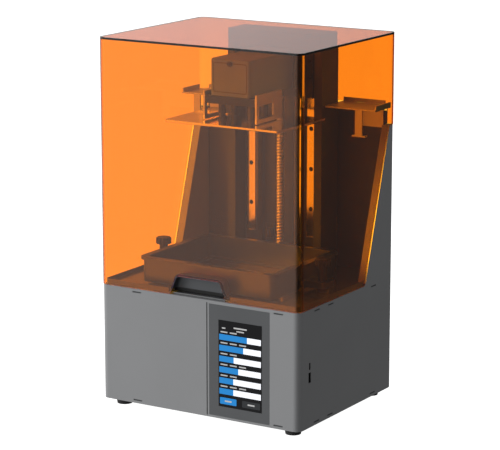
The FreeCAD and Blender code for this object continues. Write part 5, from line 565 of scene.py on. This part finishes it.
def make_surround_seam():
    """The dark joint between the housing and the left edge of the screen's surround."""
    low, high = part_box("screen_surround")
    mesh = bmesh.new()
    add_tile(mesh, low[0] - SEAM_OUTSIDE, low[0] + SEAM_INSIDE, low[2] + SEAM_FOOT, high[2],
             low[1] - SEAM_LIFT, low[1] + SEAM_SINK, SEAM_ROUND)
    make_piece("surround_seam", mesh, FINISHES["rubber"], "printer_base")


# ---------------------------------------------------------------- frame line on the arm's cover
TRIM_INSET = 0.0045
TRIM_WIDTH = 0.0011
TRIM_OUTER_ROUND = 0.003
TRIM_INNER_ROUND = 0.0025
TRIM_LIFT = 0.00002
TRIM_SINK = 0.0003


def make_cover_trim():
    """A dark line round the front of the arm's cover."""
    low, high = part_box("arm_cover")
    outer, inner = (rounded_outline(low[0] + inset, high[0] - inset, low[2] + inset,
                                    high[2] - inset, radius)
                    for inset, radius in ((TRIM_INSET, TRIM_OUTER_ROUND),
                                          (TRIM_INSET + TRIM_WIDTH, TRIM_INNER_ROUND)))
    mesh = bmesh.new()
    rings = []
    for outline, y in ((outer, low[1] - TRIM_LIFT), (inner, low[1] - TRIM_LIFT),
                       (inner, low[1] + TRIM_SINK), (outer, low[1] + TRIM_SINK)):
        rings.append([mesh.verts.new((x, y, z)) for x, z in outline])
    for near, far in zip(rings, rings[1:] + rings[:1]):
        add_ring_faces(mesh, near, far)
    make_piece("cover_trim", mesh, FINISHES["black_plastic"], "carriage")


# ---------------------------------------------------------------- ball screw
THREAD_LEAD = 0.004
THREAD_DEPTH = 0.001
THREAD_END_GAP = 0.0001
THREAD_TURN_STEPS = 28
THREAD_PITCH_STEPS = 12
CREST_WIDENING = 1.5
JOURNAL_SHARE = 0.8


def make_screw():
    """The ball screw with its round-bottomed groove, and a journal at each end."""
    low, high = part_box("ball_screw")
    x = (low[0] + high[0]) / 2
    y = (low[1] + high[1]) / 2
    radius = (high[0] - low[0]) / 2
    thread_z0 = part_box("lower_bearing_block")[1][2] + THREAD_END_GAP
    thread_z1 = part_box("upper_bearing_block")[0][2] - THREAD_END_GAP
    step = THREAD_LEAD / THREAD_PITCH_STEPS
    count = int((thread_z1 - thread_z0) / step)
    levels = [(low[2], False), (thread_z0, False)]
    levels += [(thread_z0 + step * i, True) for i in range(count + 1)]
    levels += [(thread_z0 + step * count, False), (high[2], False)]
    mesh = bmesh.new()
    rings = []
    for z, is_threaded in levels:
        ring = []
        for i in range(THREAD_TURN_STEPS):
            angle = 2 * math.pi * i / THREAD_TURN_STEPS
            phase = z / THREAD_LEAD * 2 * math.pi - angle
            groove = THREAD_DEPTH * (0.5 + 0.5 * math.cos(phase)) ** CREST_WIDENING
            r = radius - groove if is_threaded else radius * JOURNAL_SHARE
            ring.append(mesh.verts.new((x + r * math.cos(angle), y + r * math.sin(angle), z)))
        rings.append(ring)
    for below, above in zip(rings, rings[1:]):
        add_ring_faces(mesh, below, above)
    mesh.faces.new(rings[0][::-1])
    mesh.faces.new(rings[-1])
    screw = make_piece("threaded_screw", mesh, SCREW_STEEL, "screw_drive")
    for face in screw.data.polygons:
        face.use_smooth = len(face.vertices) == 4
    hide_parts("ball_screw")


# ---------------------------------------------------------------- tabs in the housing's slots
TAB_LENGTH = 0.013
TAB_HEIGHT = 0.0018
TAB_EDGE = 0.005
TAB_RECESS = 0.0007
TAB_LEFT_INSET = 0.049
TAB_RIGHT_INSET = 0.037
TAB_FIRST = 0.036
TAB_PITCH = 0.034
TAB_REAR = 0.060


def make_tabs():
    """Tabs of the deck and of the pan that show in the slots of the housing."""
    low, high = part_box("base_shell")
    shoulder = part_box("light_box")[1][2]
    inner_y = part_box("deck_plate")[0][1]
    inner_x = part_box("deck_plate")[1][0]
    mesh = bmesh.new()
    ys = (low[1] + TAB_FIRST, low[1] + TAB_FIRST + TAB_PITCH, high[1] - TAB_REAR)
    for z in (shoulder - TAB_EDGE, low[2] + TAB_EDGE - TAB_HEIGHT):
        for x in (low[0] + TAB_LEFT_INSET, high[0] - TAB_RIGHT_INSET):
            add_block(mesh, (x, low[1] + TAB_RECESS, z), (x + TAB_LENGTH, inner_y, z + TAB_HEIGHT))
        for y in ys:
            for side in (-1, 1):
                x0, x1 = sorted((side * (high[0] - TAB_RECESS), side * inner_x))
                add_block(mesh, (x0, y, z), (x1, y + TAB_LENGTH, z + TAB_HEIGHT))
    make_piece("deck_tabs", mesh, FINISHES["dark_paint"], "printer_base")


# ---------------------------------------------------------------- recess of the lid's handle
HANDLE_HALF_BOTTOM = 0.041
HANDLE_SLOPE = 0.375
HANDLE_HEIGHT = 0.024
HANDLE_SHADE_SKIRT = 0.007
HANDLE_DEPTH = 0.0126
HANDLE_ROUND = 0.006
HANDLE_BACK_ROUND = 0.004
HANDLE_BACK_STEPS = 5
LINER = 0.0004
LINER_GAP = 0.0001
# The skirt under the handle's liner is a black sheet of painted shade for the gap over the deck.
SHADE_SKIRT_WALL = 0.0008
SHADE_SKIRT_REACH = 0.6
SHADE_SKIRT_CLEARANCE = 0.0007


def handle_outline(bottom_z, foot_z, lift, steps=6):
    """The recess seen from the front: up its left side, over its top and down its right side."""
    top = bottom_z + HANDLE_HEIGHT - lift
    half_foot = HANDLE_HALF_BOTTOM - HANDLE_SLOPE * (foot_z - bottom_z) - lift
    half_top = HANDLE_HALF_BOTTOM - HANDLE_SLOPE * (top - bottom_z) - lift
    lean = math.atan(HANDLE_SLOPE)
    turn = math.pi / 2 - lean
    centre = half_top - HANDLE_ROUND * math.tan(turn / 2)
    right = []
    for i in range(steps + 1):
        angle = lean + turn * i / steps
        right.append((centre + HANDLE_ROUND * math.cos(angle),
                      top - HANDLE_ROUND + HANDLE_ROUND * math.sin(angle)))
    left = [(-x, z) for x, z in right]
    return [(-half_foot, foot_z)] + left + right[::-1] + [(half_foot, foot_z)]


def make_handle_liner():
    """Grey liner of the finger recess, open in front and below."""
    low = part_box("lid_shell")[0]
    foot = low[2] + HANDLE_SHADE_SKIRT
    mesh = bmesh.new()
    skins = []
    for lift in (LINER_GAP, LINER_GAP + LINER):
        back = low[1] + HANDLE_DEPTH - lift
        rings = []
        for step in range(-1, HANDLE_BACK_STEPS + 1):
            angle = math.pi / 2 * max(step, 0) / HANDLE_BACK_STEPS
            y = back - HANDLE_BACK_ROUND * (1 - math.sin(angle)) if step >= 0 else low[1] + LINER
            outline = handle_outline(low[2], foot,
                                     lift + HANDLE_BACK_ROUND * (1 - math.cos(angle)))
            rings.append([mesh.verts.new((x, y, z)) for x, z in outline])
        for near, far in zip(rings, rings[1:]):
            add_strip_faces(mesh, near, far)
        mesh.faces.new(rings[-1])
        skins.append(rings)
    outer, inner = skins
    add_strip_faces(mesh, outer[0], inner[0])
    for end in (0, -1):
        add_strip_faces(mesh, [ring[end] for ring in outer], [ring[end] for ring in inner])
    mesh.faces.new((outer[-1][0], outer[-1][-1], inner[-1][-1], inner[-1][0]))
    make_piece("handle_liner", mesh, HANDLE_PLASTIC, "lid")


def shade_skirt_path(half, front, back, inset):
    """The shade skirt seen from above: back along its left side, across, and to the front again.
    """
    radius = HANDLE_BACK_ROUND - inset
    path = [(-half + inset, front)]
    for side in (-1, 1):
        centre_x = side * (half - HANDLE_BACK_ROUND)
        arc = []
        for step in range(HANDLE_BACK_STEPS + 1):
            angle = math.pi / 2 * step / HANDLE_BACK_STEPS
            arc.append((centre_x + side * radius * math.cos(angle),
                        back - HANDLE_BACK_ROUND + radius * math.sin(angle)))
        path += arc if side < 0 else arc[::-1]
    return path + [(half - inset, front)]


def make_handle_shade_skirt():
    """Painted shade: a black skirt under the liner that fills the shadowed gap over the deck."""
    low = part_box("lid_shell")[0]
    back = low[1] + HANDLE_DEPTH - LINER_GAP
    front = back - SHADE_SKIRT_REACH * HANDLE_DEPTH
    deck_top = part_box("column_cover")[0][2]
    z0 = deck_top + SHADE_SKIRT_CLEARANCE
    z1 = low[2] + HANDLE_SHADE_SKIRT
    half = HANDLE_HALF_BOTTOM - HANDLE_SLOPE * HANDLE_SHADE_SKIRT - LINER_GAP
    mesh = bmesh.new()
    rims = [[[mesh.verts.new((x, y, z)) for x, y in shade_skirt_path(half, front, back, inset)]
             for z in (z0, z1)] for inset in (0.0, SHADE_SKIRT_WALL)]
    (outer_low, outer_high), (inner_low, inner_high) = rims
    for near, far in ((outer_low, outer_high), (outer_high, inner_high),
                      (inner_high, inner_low), (inner_low, outer_low)):
        add_strip_faces(mesh, near, far)
    for end in (0, -1):
        mesh.faces.new((outer_low[end], outer_high[end], inner_high[end], inner_low[end]))
    # The rubber finish here is painted shade, not a rubber part.
    make_piece("handle_shade_skirt", mesh, FINISHES["rubber"], "lid")


# ---------------------------------------------------------------- screws of the rear panel
HEAD_STEPS = 18
# The head's sizes are in radii of the head, and its profile says how far out and how high.
HEAD_HEIGHT = 0.48
HEAD_PROFILE = ((1.0, 0.0), (1.0, 0.18), (0.86, 0.38), (0.60, HEAD_HEIGHT), (0.50, HEAD_HEIGHT))
SOCKET_HALF_WIDTH = 0.40
SOCKET_FLOOR = 0.14
REAR_SCREW = 0.0028
REAR_SCREW_SIDE_INSET = 0.006
REAR_SCREW_FOOT_INSET = 0.008
REAR_SCREW_TOP_INSET = 0.026


def add_screw_head(mesh, place, out, radius):
    """A low domed head with a hexagon socket, standing on place and facing out."""
    out = Vector(out).normalized()
    side = out.orthogonal().normalized()
    up = out.cross(side)

    def add_ring(share, lift, is_hexagon=False):
        ring = []
        for i in range(HEAD_STEPS):
            angle = 2 * math.pi * i / HEAD_STEPS
            from_flat = (angle + math.pi / 6) % (math.pi / 3) - math.pi / 6
            reach = radius * share / math.cos(from_flat) if is_hexagon else radius * share
            point = (side * math.cos(angle) + up * math.sin(angle)) * reach
            ring.append(mesh.verts.new(Vector(place) + point + out * radius * lift))
        return ring

    rings = [add_ring(share, lift) for share, lift in HEAD_PROFILE]
    rings += [add_ring(SOCKET_HALF_WIDTH, lift, True) for lift in (HEAD_HEIGHT, SOCKET_FLOOR)]
    for near, far in zip(rings, rings[1:]):
        add_ring_faces(mesh, near, far)
    mesh.faces.new(rings[0][::-1])
    mesh.faces.new(rings[-1])


def make_rear_screws():
    """Screws that hold the rear panel."""
    low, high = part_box("rear_panel")
    x = high[0] - REAR_SCREW_SIDE_INSET
    mesh = bmesh.new()
    for z in (low[2] + REAR_SCREW_FOOT_INSET, (low[2] + high[2]) / 2,
              high[2] - REAR_SCREW_TOP_INSET):
        for side in (-1, 1):
            add_screw_head(mesh, (side * x, high[1], z), (0, 1, 0), REAR_SCREW)
    make_piece("rear_screws", mesh, FINISHES["black_steel"], "printer_base")


make_camera()
make_world()
make_softbox("key", KEY_PLACE, KEY_POWER)
make_softbox("fill", FILL_PLACE, FILL_POWER)
make_floor()
dress_nodes()
make_screen_picture()
make_surround_seam()
make_cover_trim()
make_screw()
make_tabs()
make_handle_liner()
make_handle_shade_skirt()
make_rear_screws()

bpy.context.scene.view_settings.view_transform = "Standard"
